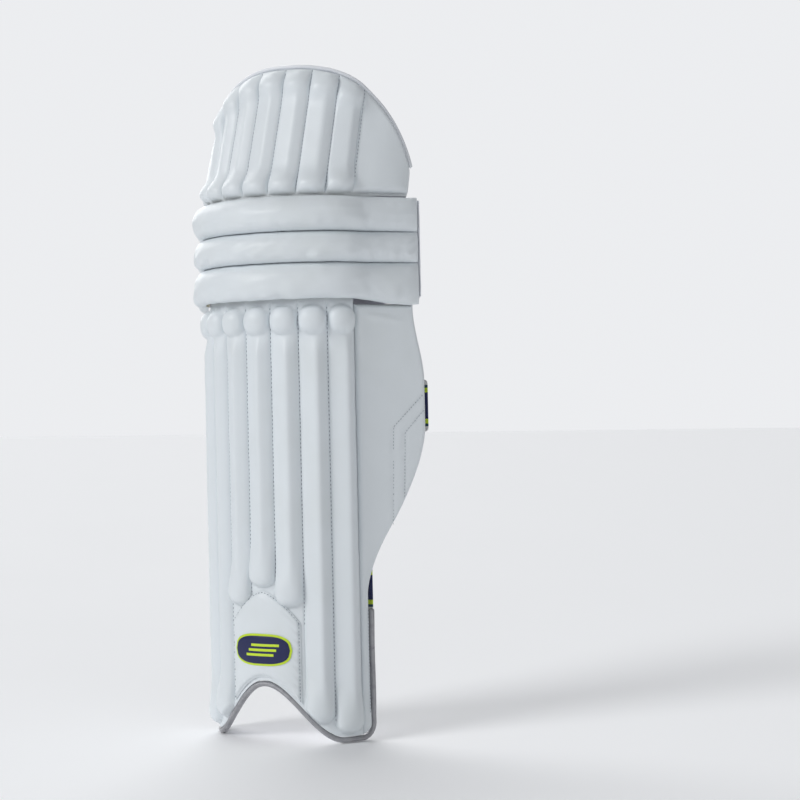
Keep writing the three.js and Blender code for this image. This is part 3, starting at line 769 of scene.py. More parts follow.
def make_shin_face():
    u = np.linspace(0, 1, 8 * 2 * RIBS + 1)
    # Columns sit closer together at the seams, where the ribs meet in a tight fold.
    strip = np.floor(u * RIBS).clip(0, RIBS - 1)
    within = u * RIBS - strip
    within = lerp(within, 0.5 - 0.5 * np.cos(math.pi * within), 0.45)
    s = lerp(-RIBBED_HALF, RIBBED_HALF, (strip + within) / RIBS)[None, :]
    v = np.linspace(0, 1, 270)[:, None]
    z = lerp(sole_edge(s), ROLL_EDGES[0] - 0.5, v)
    s = s + 0 * z
    front = shin_height(s, z)
    cover = grid_body("shin_cover", shin_zone, s, z, front, front - COVER)
    dress(cover, pu, None, ["shin_face_cover"])
    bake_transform(cover)

    for rib in range(RIBS):
        centre = (rib - 3) * 2 * RIB_HALF
        bottom = float(rib_foot(np.array(centre)))
        s, z = area(centre - 10, centre + 10, bottom, top_of(f"shin_cane_{rib + 1}") - 16, 2.5)
        crown = np.maximum(shin_height(s, z) - COVER - GAP, -COVER + 0.5)
        front, back = rounded(s, z, crown, -COVER + 0 * z, 3)
        dress(grid_body(f"shin_rib_cane_{rib + 1}", shin_zone, s, z, front, back), cane, "shin",
              [f"shin_cane_{rib + 1}"])

    seams = []
    for edge in range(1, RIBS):
        s = (edge - RIBS / 2) * 2 * RIB_HALF
        if abs(s) <= INSTEP_HALF:
            low = float(instep_top(np.array(s))) + 2
        else:
            low = float(sole_edge(np.array(s))) + 16
        z = np.linspace(low, SHIN_TOP, 60)
        seams.append(np.stack([s + 0 * z, z, shin_height(s + 0 * z, z) + 0.35], -1))
    row = stitches("rib_seam_stitches", shin_zone, seams, pitch=4.2, length=2.2)
    dress(row, thread, "shin")


make_shin_face()


# ---- Instep panel and badge ----
def make_instep():
    inset = 1.5
    s, z = area(-INSTEP_HALF + 4, INSTEP_HALF - 4, lambda s: sole_edge(s) + 4,
                lambda s: instep_top(s) - 3, 1.6)
    away = rim_distance(s, z)
    puff = 3.4 * dome(1 - ramp(away, 0, 12)) + 0.35 * ripple(s, z, 30, 11)
    pucker = 0.5 * np.sin((s + 1.3 * z) / 1.9) * (1 - smooth(away, 1, 11))
    front = 1.3 + puff * smooth(away, 0, 3) + pucker
    back = GAP + 0 * front
    panel = grid_body("instep_cover", shin_zone, s, z, np.maximum(front, back + 0.5), back)
    dress(panel, pu, "shin", ["instep_panel"])

    side = INSTEP_HALF - 4 - inset
    across = np.linspace(-side, side, 60)
    over = np.stack([across, instep_top(across) - 3 - inset, 0 * across + 2.4], -1)
    up = np.linspace(float(sole_edge(np.array(side))) + 6, instep_top(side) - 6, 30)
    lines = [over] + [np.stack([end * side + 0 * up, up, 0 * up + 2.4], -1) for end in (-1, 1)]
    dress(stitches("instep_stitches", shin_zone, lines, pitch=3.6, length=2.1), thread, "shin")
    return lambda s, z: 5.1 + 0.35 * ripple(s, z, 30, 11)


def oval(half_width, half_height, centre_z, inset=0.0, step=1.6):
    """Places over a flat-ended oval."""
    wide = half_width - inset
    tall = half_height - inset
    u = np.linspace(-1, 1, int(2 * wide / step))[None, :]
    v = np.linspace(-1, 1, int(2 * tall / step))[:, None]
    s = wide * u + 0 * v
    rise = tall * (1 - np.abs(u) ** 3.2) ** (1 / 2.4) + 0.4
    return s, centre_z + rise * v


def make_instep_badge(lift):
    half_width = 33
    half_height = 16
    centre = (foot_of("instep_badge") + top_of("instep_badge")) / 2
    for name, look, inset, rise in (
        ("instep_badge_rim", badge_lime, 0, 0.5),
        ("instep_badge_face", badge_navy, 2.2, 0.9),
    ):
        s, z = oval(half_width, half_height, centre, inset)
        base = lift(s, z) + (0.05 if inset == 0 else 0.6)
        front, back = rounded(s, z, base + rise, base, 1.2)
        badge = grid_body(name, shin_zone, s, z, front, back)
        dress(badge, look, "shin", ["instep_badge"] if inset == 0 else ())
    for count, height in enumerate((-5, 0, 5)):
        s, z = area(-17 + 3 * count, 14 + 3 * count, centre + height - 1.3, centre + height + 1.3, 1.3)
        base = lift(s, z) + 1.55
        front, back = rounded(s, z, base + 0.4, base, 0.8)
        bar = grid_body(f"instep_badge_bar_{count + 1}", shin_zone, s, z, front, back)
        dress(bar, badge_lime, "shin")


make_instep_badge(make_instep())


# ---- Bottom edge binding ----
def binding_line(step=1.5):
    """Places round the foot's lower edge, from the inner side's top to the outer side's top."""
    drop = 3.6
    side = FOOT_SIDE_HALF + 4
    corner = FOOT_CORNER + 2
    low = SOLE_Z - drop
    across = np.arange(-side + corner, side - corner + 0.1, step)
    bottom = np.stack([across, sole_edge(across) - drop], -1)
    turn = np.linspace(0, math.pi / 2, 14)[1:]
    round_end = np.stack([side - corner + corner * np.sin(turn), low + corner - corner * np.cos(turn)], -1)
    rise = np.arange(low + corner + step, BINDING_TOP, step)
    upright = np.stack([side + 0 * rise, rise], -1)
    outer = np.concatenate([round_end, upright])
    inner = outer[::-1] * [-1, 1]
    return resample(np.concatenate([inner, bottom, outer]), step)


def make_binding():
    line = binding_line()
    depth = -2.2 + 0.35 * np.sin(np.arange(len(line)) * 0.11)
    path = shin_zone(line[:, 0], line[:, 1], depth)
    out = shin_zone(line[:, 0], line[:, 1], depth + 1) - path
    dress(tube("foot_binding", path, 2.9, 16, 1.25, out), silver, "shin", ["bottom_edge_binding"])
    rise = np.linspace(30, BINDING_TOP - 3, 40)
    rows = [np.stack([side * (FOOT_SIDE_HALF - inset) + 0 * rise, rise, 0 * rise + 2.6], -1)
            for side, inset in ((1, 3.0), (-1, 3.0))]
    dress(stitches("foot_side_stitches", shin_zone, rows, pitch=3.4, length=2.0), thread, "shin")


make_binding()


# ---- Wings ----


def wing_back(z):
    return -COVER - 12 * lerp(0.3, 1, smooth(z, SOLE_Z + FOOT_CORNER, 70))


def chevron_lines():
    """The two lines stitched on the outer wing, as (s, z) corners."""
    outer = [(179, 354), (146, 322), (144, 222)]
    inner = [(180, 338), (159, 316), (157, 250)]
    return outer, inner


def line_distance(s, z, line):
    """Distance from each place to a line of straight lengths."""
    nearest = np.full(s.shape, 1e3)
    for (s0, z0), (s1, z1) in zip(line[:-1], line[1:]):
        along = np.array([s1 - s0, z1 - z0], float)
        t = np.clip(((s - s0) * along[0] + (z - z0) * along[1]) / (along @ along), 0, 1)
        nearest = np.minimum(nearest, np.hypot(s - s0 - t * along[0], z - z0 - t * along[1]))
    return nearest


def to_foot_corner(s, z):
    """Draws the bottom of a wing's grid down into the rounded corner of the foot."""
    start = SOLE_Z + FOOT_CORNER
    reach = np.clip((np.abs(s) - RIBBED_HALF) / FOOT_CORNER, 0, 1)
    drop = FOOT_CORNER * np.sqrt(1 - reach ** 2)
    return z - drop * (1 - ramp(z, start, start + 40))


def make_outer_wing():
    s, z = area(RIBBED_HALF + 0.6, outer_edge, SOLE_Z + FOOT_CORNER, SHIN_TOP + 4, 1.6)
    z = to_foot_corner(s, z)
    away = s - s[:, :1]
    width = s[:, -1:] - s[:, :1]
    crown = 3.2 * smooth(width, 12, 45) * dome(1 - ramp(away, 0, 16)) * (1 - 0.5 * ramp(away, 16, 70))
    front = 1.2 + crown + 0.35 * ripple(s, z, 60, 5)
    for line in chevron_lines():
        front = front - 0.9 * np.exp(-(line_distance(s, z, line) / 1.1) ** 2)
    fold = 1.1 * np.exp(-((z - 438 + 0.16 * (s - 120)) / 3.5) ** 2) * smooth(s, 112, 128)
    front = front + fold * (1 - smooth(s, 140, 165))
    front, back = rounded(s, z, front, wing_back(z), 5)
    wing = grid_body("outer_wing_cover", shin_zone, s, z, front, back)
    dress(wing, pu, None, ["outer_wing", "outer_foot_border"])
    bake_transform(wing)

    lines = []
    for corners in chevron_lines():
        line = resample(np.array(corners), 2.0)
        lines.append(np.column_stack([line, 1.2 + 1.9 + 0 * line[:, 0]]))
    stitched = stitches("wing_chevron_stitches", shin_zone, lines, pitch=3.4, length=2.2, radius=0.3)
    dress(stitched, thread, "outer_wing")


make_outer_wing()


def make_wing_lining():
    s, z = area(RIBBED_HALF + 4, lambda z: outer_edge(z) - 1, WING_FOOT + 2, SHIN_TOP - 2, 2.5)
    front = wing_back(z) - GAP - 0.2
    thick = 1.5 + 1.2 * dome(1 - ramp(rim_distance(s, z), 0, 14)) + 0.5 * ripple(s, z, 45, 9)
    back = front - np.maximum(thick, 0.9)
    lining = grid_body("outer_wing_inside", shin_zone, s, z, front, back)
    dress(lining, brushed, "outer_wing", ["outer_wing_lining"])


make_wing_lining()


def make_inner_wing():
    s, z = area(inner_edge, -RIBBED_HALF - 0.6, SOLE_Z + FOOT_CORNER, top_of("inner_wing"), 1.8)
    z = to_foot_corner(s, z)
    away = s[:, -1:] - s
    crown = 2.2 * dome(1 - ramp(away, 0, 14))
    front = 1.2 + crown + 0.3 * ripple(s, z, 50, 6)
    front, back = rounded(s, z, front, wing_back(z), 5)
    dress(grid_body("inner_wing_cover", shin_zone, s, z, front, back), pu, "shin",
          ["inner_wing"])


make_inner_wing()


# ---- Knee rolls ----
ROLL_BULGE = 16


def roll_height(roll, s, z):
    low = ROLL_EDGES[roll]
    high = ROLL_EDGES[roll + 1]
    up = np.clip((z - low) / (high - low) * 2 - 1, -1, 1)
    fade = 1 - 0.45 * knee_reach(s) ** 4
    end = dome(ramp(knee_reach(s), 0.90, 1.003))
    crease = (2.2 + 0.8 * (roll == 0)) * ripple(s, 0 * z, 15, 20 + roll) * (1 - smooth(up, -0.98, 0.25))
    crease = crease + 0.7 * ripple(s, 0 * z, 14, 30 + roll) * smooth(up, 0.1, 0.95)
    soft = 1.3 * ripple(s, z * 1.4, 60, 40 + roll) + 0.5 * ripple(s, z * 2.2, 22, 45 + roll) + crease
    full = ROLL_BULGE * fade * (1 - np.abs(up) ** 2.3 * 0.985) ** 0.5
    return 2 + end * np.maximum(0.2, full + soft * dome(np.abs(up) * 0.97))


def make_rolls():
    for roll in range(3):
        number = 3 - roll
        low = ROLL_EDGES[roll] + 0.25
        high = ROLL_EDGES[roll + 1] - 0.25
        s, z = area(-KNEE_INNER, KNEE_OUTER, low, high, 1.4)
        front = roll_height(roll, s, z)
        shell = grid_body(f"knee_roll_cover_{number}", sagging_knee, s, z, front, front - COVER)
        dress(shell, pu, "knee", [f"knee_roll_{number}"])
        s, z = area(-KNEE_INNER + 10, KNEE_OUTER - 10, low + 5, high - 5, 3)
        crown = roll_height(roll, s, z) - COVER - 0.6
        front, back = rounded(s, z, crown, GAP + 0 * z, 4)
        filling = grid_body(f"knee_roll_filling_{number}", sagging_knee, s, z, front, back)
        dress(filling, foam, "knee", [f"knee_roll_core_{number}"])
        if roll == 0:
            give_way(shell)
            give_way(filling)


def give_way(obj):
    """Gives the piece a mesh of its own."""
    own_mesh(obj)


END_HANG = 7.5


def sagging_knee(s, z, depth):
    """The knee's face, with whatever stands out from it hanging a little."""
    points = knee_zone(s, z, depth)
    lowest = 1 - smooth(z, ROLL_EDGES[0], ROLL_EDGES[1])
    points[..., 2] -= (0.2 + 0.3 * lowest) * np.clip(depth - 2, 0, 20)
    points[..., 2] -= END_HANG * lowest * smooth(knee_reach(s), 0.5, 0.95)
    return points


make_rolls()


def make_knee_backing():
    """The cased foam that the rolls are sewn to."""
    s, z = area(-KNEE_INNER, KNEE_OUTER, ROLL_EDGES[0], ROLL_EDGES[3], 3)
    soft = 0.5 * ripple(s, z, 24, 55)
    front, back = rounded(s, z, 0 * s, -KNEE_BACKING + soft, 5)
    case = grid_body("knee_backing_case", knee_zone, s, z, front, back)
    dress(case, satin, "knee", ["knee_backing_board"])
    give_way(case)


KNEE_BACKING = 12
make_knee_backing()


def make_knee_edges():
    """The folded tape that closes the rolls and backing at each end, with its row of stitches."""
    rows = []
    for end, side, name in ((KNEE_INNER, -1, "inner"), (KNEE_OUTER, 1, "outer")):
        ends = sorted((side * (end + 0.4), side * (end + 3.2)))
        s, z = area(ends[0], ends[1], ROLL_EDGES[0] - 1, ROLL_EDGES[3] - 2, 0.9)
        v = np.linspace(0, 1, 70)[:, None]
        s = s[:1] + 0 * v
        z = lerp(ROLL_EDGES[0] - 1, ROLL_EDGES[3] - 2, v) + 0 * s
        front, back = rounded(s, z, 4.5 + 0.4 * ripple(s, z, 12, 50), -14 + 0.3 * ripple(s, z, 15, 51), 1.3)
        tape = grid_body(f"knee_edge_tape_{name}", knee_zone, s, z, front, back)
        dress(tape, pu_edge, "knee")
        rise = np.linspace(ROLL_EDGES[0] + 3, ROLL_EDGES[3] - 6, 30)
        rows.append(np.stack([side * (end + 3.4) + 0 * rise, rise, -5 + 0 * rise], -1))
    dress(stitches("knee_edge_stitches", knee_zone, rows, pitch=3.6, length=2.2, radius=0.35), thread,
          "knee")


make_knee_edges()


# ---- Top flap ----
def flap_foot(rib):
    return FLAP_FOOT + 7 + 9 * smooth(np.abs(rib), 70, 130)


def flap_top(rib):
    return flap_edge(rib * 0.95)


def flap_height(rib, z):
    _, centre, across = rib_at(rib)
    foot = FLAP_FOOT + 1.5 + 2 * smooth(np.abs(rib), 70, 130)
    top = flap_top(rib)
    lump = dome(np.abs(across) * 0.99)
    low_pillow = np.exp(-((z - foot - 12) / 11) ** 2)
    high_pillow = np.exp(-((z - flap_top(centre) + 17) / 11) ** 2)
    waist = 5.0 * ridge(across)
    height = lerp(waist, 11.4 * lump, np.clip(low_pillow, 0, 1))
    height = lerp(height, 9.6 * lump, np.clip(high_pillow, 0, 1))
    rise = dome(1 - ramp(z, foot, foot + 8))
    fall = dome(1 - ramp(top - z, 1.5, 10))
    seam = 1.1 * smooth(np.abs(across), 0.88, 1.0) * smooth(z, foot, foot + 6)
    side = np.abs(rib)
    half = (by_side(rib, "stop") - RIBBED_HALF) / 2
    puff = 8.5 * dome(np.abs(side - RIBBED_HALF - half) / (half + 0.5)) ** 0.9
    shape = np.where(side < RIBBED_HALF, height * rise * fall - seam * fall, puff * rise * fall)
    return shape + 0.25 * ripple(rib, z, 30, 60)


def flap_places(left, right, bottom, inset, step):
    u = spread(int((right - left) / step) + 2)[None, :]
    v = np.linspace(0, 1, int(FLAP_RISE / step) + 2)[:, None]
    rib = lerp(left, right, u)
    z = lerp(bottom(rib), flap_top(rib) - inset, v)
    rib = rib + 0 * z
    return rib, rib * flap_narrow(z), z


def make_flap_face():
    columns = np.concatenate([
        np.linspace(-FLAP_INNER["stop"], -RIBBED_HALF, 34)[:-1],
        np.concatenate([rib * 2 * RIB_HALF - RIBBED_HALF + 2 * RIB_HALF * spread(19)[:-1]
                        for rib in range(RIBS)]),
        np.linspace(RIBBED_HALF, FLAP_OUTER["stop"], 40),
    ])[None, :]
    v = np.linspace(0, 1, 96)[:, None]
    tuck = 3.0
    z = lerp(FLAP_FOOT - tuck + 4 * smooth(np.abs(columns), 90, 140), flap_top(columns) - 1.5, v)
    rib = columns + 0 * z
    front = flap_height(rib, z) - 1.6 * (1 - smooth(z, FLAP_FOOT - tuck, FLAP_FOOT + 7))
    cover = grid_body("flap_cover", flap_zone, rib * flap_narrow(z), z, front, front - COVER)
    dress(cover, pu, None, ["flap_face_cover"])
    bend_at_flap(cover)
    for index in range(RIBS):
        centre = (index - 3) * 2 * RIB_HALF
        node = f"flap_cane_{index + 1}"
        z = np.linspace(foot_of(node) + 3, top_of(node) - 4, 24)[:, None]
        rib = centre + np.linspace(-9, 9, 10)[None, :] + 0 * z
        z = z + 0 * rib
        s = rib * flap_narrow(z)
        crown = np.maximum(flap_height(rib, z) - COVER - GAP, -COVER + 0.5)
        front, back = rounded(s, z, crown, -COVER + 0 * z, 2.5)
        rod = grid_body(f"flap_rib_cane_{index + 1}", flap_zone, s, z, front, back)
        dress(rod, cane, "flap", [node])
    seams = []
    for edge in range(RIBS + 1):
        rib = (edge - RIBS / 2) * 2 * RIB_HALF
        z = np.linspace(float(flap_foot(np.array(rib))) + 4, float(flap_top(np.array(rib))) - 3, 40)
        rib = rib + 0 * z
        seams.append(np.stack([rib * flap_narrow(z), z, flap_height(rib, z) + 0.35], -1))
    row = stitches("flap_seam_stitches", flap_zone, seams, pitch=4.0, length=2.2)
    dress(row, thread, "flap")


def bend_at_flap(obj):
    """Bakes the piece's placement into its mesh."""
    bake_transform(obj)


make_flap_face()


def make_flap_core():
    """The cloth case of the flap's foam, which shows at the flap's lower edge."""
    inner = FLAP_INNER["stop"] - 3
    outer = FLAP_OUTER["stop"] - 3
    rib, s, z = flap_places(-inner, outer, lambda r: flap_foot(r) + 0 * r, 5, 4.0)
    thick = lerp(0.25, 1, smooth(flap_top(rib) - z, 2, 26))
    front = -COVER - GAP + 0 * s
    core = grid_body("flap_core_case", flap_zone, s, z, front, front - 13 * thick)
    dress(core, satin, "flap", ["flap_foam_board"])


make_flap_core()


def make_flap_lining():
    inner = FLAP_INNER["stop"]
    outer = FLAP_OUTER["stop"]
    rib, s, z = flap_places(-inner, outer, lambda r: FLAP_FOOT - 4 + 4 * smooth(np.abs(r), 90, 140), 1.5, 2.0)
    away = np.minimum(flap_top(rib) - z, by_side(rib, "stop") - np.abs(rib))
    thick = lerp(0.25, 1, smooth(flap_top(rib) - z, 2, 26))
    flat = -COVER - GAP - 13 * thick - 2.2
    wrap = lerp(-2.6, flat, dome(1 - ramp(away, 0, 5.0)))
    pucker = 0.8 * np.sin(s / 3.3 + 2.2 * ripple(s, z, 50, 71)) * (1 - smooth(z, FLAP_FOOT, FLAP_FOOT + 18))
    soft = -1.6 * dome(1 - ramp(away, 5, 60)) + 0.9 * ripple(s, z, 65, 70) + pucker
    front = wrap + 0 * soft
    back = front - LINING_THICK + np.minimum(0.4, soft * smooth(away, 4, 12))
    lining = grid_body("flap_lining", flap_zone, s, z, front, back)
    dress(lining, flap_lining_look("flap_satin"), None, ["flap_back_lining"])
    flat = ((inner + outer) * MM, (FLAP_RISE + 4) * MM)
    bend_at_flap(lining)


LINING_THICK = 1.4
make_flap_lining()


def make_flap_trim():
    rib = np.linspace(-FLAP_INNER["stop"], FLAP_OUTER["stop"], 500)
    z = flap_top(rib)
    outline = resample(np.stack([rib * flap_narrow(z), z], -1), 1.6)
    along = np.gradient(outline, axis=0)
    along /= np.linalg.norm(along, axis=1, keepdims=True)
    out = 1.0 + 1.6 * (1 - along[:, 0])
    s = outline[:, 0] - out * along[:, 1]
    z = outline[:, 1] + out * along[:, 0]
    path = flap_zone(s, z, -1.6)
    outwards = flap_zone(s, z, -0.6) - path
    dress(tube("flap_trim", path, 2.3, 14, 1.15, outwards), pu_edge, "flap", ["flap_edge_trim"])


make_flap_trim()


# ---- Leg side of the shin ----
def sole_taper(s, z):
    return lerp(0.15, 1, ramp(z - sole_edge(s), 0, EDGE_TAPER))


def make_shin_core():
    """The brushed cloth case of the shin's foam, which shows along both sides of the lining."""
    s, z = area(-RIBBED_HALF, RIBBED_HALF, sole_edge, SHIN_TOP, 4)
    front = -COVER - GAP + 0 * s
    back = front - 13 * sole_taper(s, z)
    dress(grid_body("shin_core_case", shin_zone, s, z, front, back), brushed, "shin",
          ["shin_foam_board"])


make_shin_core()


def make_shin_lining():
    s, z = area(-RIBBED_HALF, RIBBED_HALF, lambda s: sole_edge(s), SHIN_TOP - 2, 2.5)
    front = -COVER - GAP - 13 * sole_taper(s, z) - GAP
    back = front - 1.4 - 0.15 * ripple(s, z, 60, 80)
    lining = grid_body("shin_lining", shin_zone, s, z, front, back)
    dress(lining, pu_edge, "shin", ["shin_back_lining"])


make_shin_lining()


def make_cushion(name, node, inner, foot_side, side, seed):
    """A crowned mesh cushion, its leg face blown out and its sides drawn in."""
    foot = foot_of(node)
    top = top_of(node)
    sign = 1 if side > 0 else -1

    def edge(z):
        return lerp(foot_side, side, smooth(z, foot, 300))

    def slant(where):
        return foot + 1 + 26 * np.clip((abs(foot_side) - np.abs(where)) / (abs(foot_side) - abs(inner)), 0, 1)

    left, right_side = (inner, edge) if sign > 0 else (edge, inner)
    s, z = area(left, right_side, slant, top - 1, 4.0)
    front = LINING_BACK - GAP + 0 * s
    away = rim_distance(s, z)
    thick = 4 + 11.5 * dome(1 - ramp(away, 0, 20)) + 0.5 * ripple(s, z, 70, seed)
    cushion = grid_body(name, shin_zone, s, z, front, front - thick)
    count = s.size
    inflate(cushion, np.arange(2 * count) < count, pressure=3.0, cap=4.0)
    subdivided(cushion)
    dress(cushion, spacer_mesh, "shin", [node])
    cushion.data.materials.append(brushed.material)
    wall_faces = 4 * 2 * (s.shape[0] + s.shape[1] - 2)
    for polygon in cushion.data.polygons[-wall_faces:]:
        polygon.material_index = 1


make_cushion("outer_mesh_cushion", "outer_shin_cushion", 34, 98, 126, 81)
make_cushion("inner_mesh_cushion", "inner_shin_cushion", -32, -98, -103, 82)


def make_centre_strip():
    s, z = area(-26, 26, foot_of("centre_shin_strip"), top_of("centre_shin_strip"), 1.8)
    front = LINING_BACK - GAP + 0 * s
    thick = 1.2 + 2.4 * dome(1 - ramp(rim_distance(s, z), 0, 9)) + 0.3 * ripple(s, z, 30, 83)
    strip = grid_body("centre_strip", shin_zone, s, z, front, front - thick)
    dress(strip, strip_look("centre_strip", 262, 150), "shin",
          ["centre_shin_strip"])
    rise = np.linspace(foot_of("centre_shin_strip") + 3, top_of("centre_shin_strip") - 3, 80)
    rows = [np.stack([side * 24 + 0 * rise, rise, LINING_BACK - GAP - 3.2 + 0 * rise], -1)
            for side in (-1, 1)]
    dress(stitches("centre_strip_stitches", shin_zone, rows, pitch=3.6, length=2.2), white_thread,
          "shin")


make_centre_strip()

FOOT_BACK_SEAMS = [-100, -76, -52, 40, 64, 88]


def make_foot_backs():
    for number, (left, right_side) in enumerate(zip(FOOT_BACK_SEAMS[:-1], FOOT_BACK_SEAMS[1:]), 1):
        node = f"foot_back_pad_{number}"
        s, z = area(left + 0.4, right_side - 0.4, lambda s: sole_edge(s) + 5, top_of(node), 1.8)
        front = -COVER - GAP - 13 * sole_taper(s, z) - 1.6 - 2 * GAP
        across = (s - left) / (right_side - left) * 2 - 1
        low = sole_edge(s) + 5
        up = (z - low) / (top_of(node) - low)
        thick = (1.0 + 6.5 * dome(np.abs(across) ** 1.6) * dome(1 - ramp(up, 0, 0.22))
                 * dome(ramp(up, 0.8, 1.02)))
        back = front - (thick + 0.25 * ripple(s, z, 20, 90 + number)) * lerp(0.5, 1, sole_taper(s, z))
        dress(grid_body(f"foot_back_{number}", shin_zone, s, z, front, back), satin, "shin",
              [node])


make_foot_backs()


# ---- Leg side of the knee ----
BOLSTER_FRONT = -20
BOLSTER_INNER = 152
BOLSTER_OUTER = 166


def bolster_foot(s):
    reach = np.abs(s) / np.where(s > 0, BOLSTER_OUTER, BOLSTER_INNER)
    return foot_of("knee_bolster") + 12 * smooth(reach, 0.6, 1)


def make_bolster():
    top = top_of("knee_bolster")
    s, z = area(-BOLSTER_INNER, BOLSTER_OUTER, bolster_foot, top, 4.5)
    away = rim_distance(s, z)
    thick = 3 + 12 * dome(1 - ramp(away, 0, 26)) + 1.0 * ripple(s, z, 80, 100)
    front = BOLSTER_FRONT + 0 * s
    bolster = grid_body("knee_bolster_cover", knee_zone, s, z, front, front - thick)
    count = s.size
    inflate(bolster, np.arange(2 * count) < count, pressure=3.0, cap=4.5, stiffness=8)
    subdivided(bolster)
    dress(bolster, satin, "knee", ["knee_bolster"])


make_bolster()


def make_locator():
    node = "knee_locator_panel"
    foot = foot_of(node)
    top = top_of(node)

    def half(z):
        rise = (z - foot) / (top - foot)
        return lerp(44, 74, np.maximum(0, 1 - (rise * 2 - 1) ** 2))

    s, z = area(lambda z: -half(z), half, foot, top, 1.8)
    front = -41 + 0 * s
    thick = 1.0 + 1.1 * dome(1 - ramp(rim_distance(s, z), 0, 8))
    panel = grid_body("knee_locator", knee_zone, s, z, front, front - thick)
    dress(panel, locator_mesh, "knee", [node])
    side_z = np.linspace(foot + 2, top - 2, 60)
    rows = [np.stack([side * (half(side_z) - 2), side_z, -43.0 + 0 * side_z], -1) for side in (-1, 1)]
    row = stitches("locator_stitches", knee_zone, rows, pitch=3.4, length=2.0)
    dress(row, white_thread, "knee")

    centre = 519
    for name, look, radius, depth, thick in (("knee_badge_rim", badge_black, 24, -43.5, 0.9),
                                             ("knee_badge_face", badge_light, 21.6, -44.5, 0.35),
                                             ("knee_badge_centre", badge_grey, 17, -44.95, 0.3)):
        x = np.linspace(-1, 1, 26)[None, :] * radius * math.cos(math.pi / 6)
        tall = radius - np.abs(x) * math.tan(math.pi / 6)
        v = np.linspace(-1, 1, 22)[:, None]
        s = 1.5 * x + 0 * v
        z = centre + tall * v
        front, back = rounded(s, z, depth + 0 * s, depth - thick + 0 * s, 0.8)
        dress(grid_body(name, knee_zone, s, z, front, back), look, "knee",
              ["knee_locator_badge"] if name.endswith("rim") else ())


make_locator()


# ---- Straps ----
def strap_frame(node):
    """Start, direction and length in plan of a strap node, and its lowest and highest z, in mm."""
    low, high = (np.array(corner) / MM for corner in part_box(node))
    verts = np.array([v.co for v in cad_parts[node].data.vertices]) / MM
    left = verts[verts[:, 0] < low[0] + 3].mean(0)
    right_end = verts[verts[:, 0] > high[0] - 3].mean(0)
    along = right_end[:2] - left[:2]
    along /= np.linalg.norm(along)
    start = left[:2] + along * (low[0] - left[0]) / along[0]
    return start, along, (high[0] - low[0]) / along[0], low[2], high[2]


def strap_zone(start, along, low, high):
    """Places along a strap, across it from its middle, and out towards the leg."""
    out = np.array([-along[1], along[0]])

    def zone(s, z, depth):
        s, z, depth = np.broadcast_arrays(s, z, depth)
        return np.stack([
            start[0] + along[0] * s + out[0] * depth,
            start[1] + along[1] * s + out[1] * depth,
            (low + high) / 2 + z,
        ], -1)
    return zone


def flat_band(name, zone, length, half, front, back, corner=4.0, start=0.0, step=1.6):
    """A band with rounded far corners."""
    u = spread(int(length / step) + 3)[None, :]
    v = spread(int(2 * half / step) + 3)[:, None]
    s = start + length * u
    into = np.clip(corner - (start + length - s), 0, corner)
    pull = corner - np.sqrt(np.clip(corner ** 2 - into ** 2, 0, None))
    z = lerp(-half + pull, half - pull, v)
    s = s + 0 * z
    wavy = 0.12 * ripple(s, z, 24, int(length) + 3)
    near, far = rounded(s, z, front + wavy, back + wavy, 0.9)
    return grid_body(name, zone, s, z, far, near)


WEB = 2.2


def make_strap(name, body, patch=True):
    node = f"{name}_strap"
    start, along, length, low, high = strap_frame(node)
    zone = strap_zone(start, along, low, high)
    half = (high - low) / 2
    look = webbing_look(f"{name}_webbing", 2 * half)
    band = flat_band(f"{name}_strap_webbing", zone, length, half, 0.0, -WEB)
    dress(band, look, body, [node])
    ends = [6.0, length - 5.0] if patch else [6.0, length - 3.0]
    up = np.linspace(-half + 2, half - 2, 20)
    rows = [np.stack([end + 0 * up, up, 0.25 + 0 * up], -1) for end in ends]
    dress(stitches(f"{name}_strap_stitches", zone, rows, pitch=3.2, length=2.2, radius=0.4), white_thread,
          body)
    if patch:
        width = 38
        hooks = flat_band(f"{name}_strap_hooks", zone, width, half - 3, -WEB - 0.3, -WEB - 1.4, 2,
                          length - width - 4)
        dress(hooks, hook, body, [f"{name}_strap_hook_patch"])
    return look


make_strap("top", "top_strap")
make_strap("middle", "middle_strap")
lower_look = make_strap("lower", "lower_strap", patch=False)


def make_loop_tab(name, body):
    node = f"{name}_strap_loop_tab"
    start, along, length, low, high = strap_frame(node)
    zone = strap_zone(start, along, low, high)
    half = (high - low) / 2
    tab = flat_band(f"{name}_loop_tab", zone, length, half, 0.0, -1.6, 4)
    dress(tab, loop, body, [node])


make_loop_tab("top", "knee")
make_loop_tab("middle", "outer_wing")


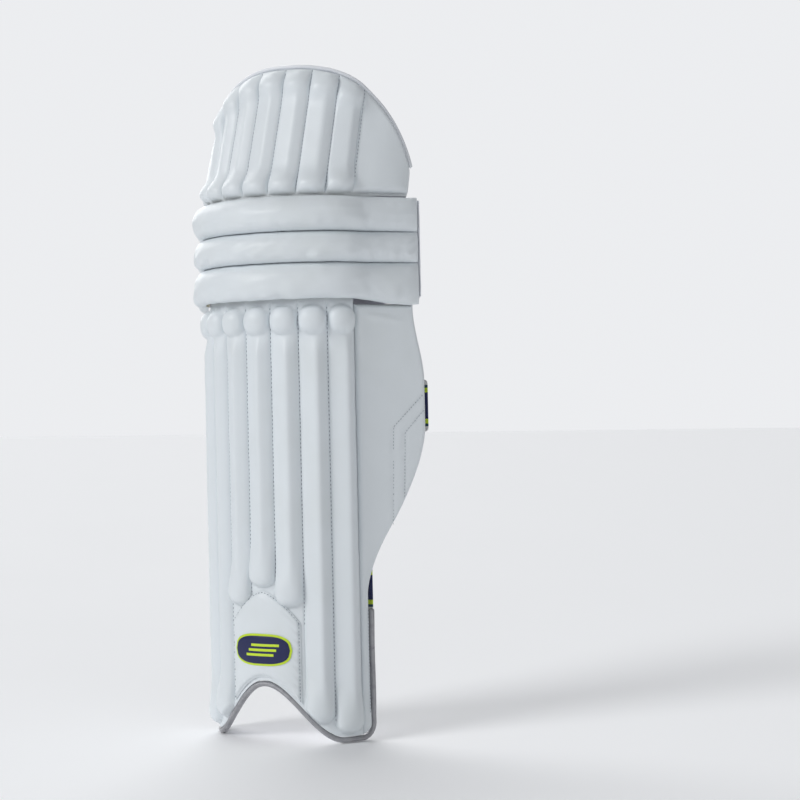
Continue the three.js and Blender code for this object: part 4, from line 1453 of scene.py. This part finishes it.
def make_lower_tab():
    node = "lower_strap_tab"
    start, along, length, low, high = strap_frame(node)
    zone = strap_zone(start, along, low, high)
    half = (high - low) / 2
    tab = flat_band("lower_tab_webbing", zone, length, half, 0.0, -WEB, 1)
    dress(tab, lower_look, "shin", [node])


make_lower_tab()

for node, look, slot in (
    ("lower_strap_slider", plastic, "slider_plastic"),
    ("lower_strap_slider_bar", dark_plastic, "slider_bar"),
):
    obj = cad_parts[node]
    obj.data.materials.clear()
    obj.data.materials.append(look.material)


# ---- Light and floor ----
def sun(name, direction, strength, spread_degrees):
    """An even light from a direction, given as where it comes from."""
    light = bpy.data.lights.new(name, "SUN")
    light.energy = strength
    light.angle = math.radians(spread_degrees)
    obj = bpy.data.objects.new(name, light)
    bpy.context.scene.collection.objects.link(obj)
    obj.rotation_euler = (-Vector(direction)).to_track_quat("-Z", "Y").to_euler()


sun("key", -ahead * 0.75 - right * 1.15 + Vector((0, 0, 0.8)), 1.3, 26)
sun("fill", -ahead * 1.0 + right * 0.25 + Vector((0, 0, 0.35)), 0.36, 60)
sun("back", ahead * 1.0 - right * 0.35 + Vector((0, 0, 0.8)), 1.7, 60)

world = bpy.data.worlds.new("studio")
world.use_nodes = True
sky = world.node_tree
background = sky.nodes["Background"]
background.inputs[0].default_value = (0.95, 0.97, 1.0, 1)
background.inputs[1].default_value = 0.25
seen = sky.nodes.new("ShaderNodeBackground")
seen.inputs[0].default_value = (0.84, 0.85, 0.87, 1)
rays = sky.nodes.new("ShaderNodeLightPath")
either = sky.nodes.new("ShaderNodeMixShader")
sky.links.new(rays.outputs["Is Camera Ray"], either.inputs[0])
sky.links.new(background.outputs[0], either.inputs[1])
sky.links.new(seen.outputs[0], either.inputs[2])
sky.links.new(either.outputs[0], sky.nodes["World Output"].inputs[0])
bpy.context.scene.world = world
bpy.context.scene.view_settings.view_transform = "Standard"

bpy.ops.mesh.primitive_plane_add(size=30, location=(0, 0, 0))
floor = bpy.context.object
floor.name = "floor"
floor_look = Look("floor", rgb(248, 249, 251), 0.8)
floor_look.rough(floor_look.noise(3), 0.75, 0.9)
floor.data.materials.append(floor_look.material)
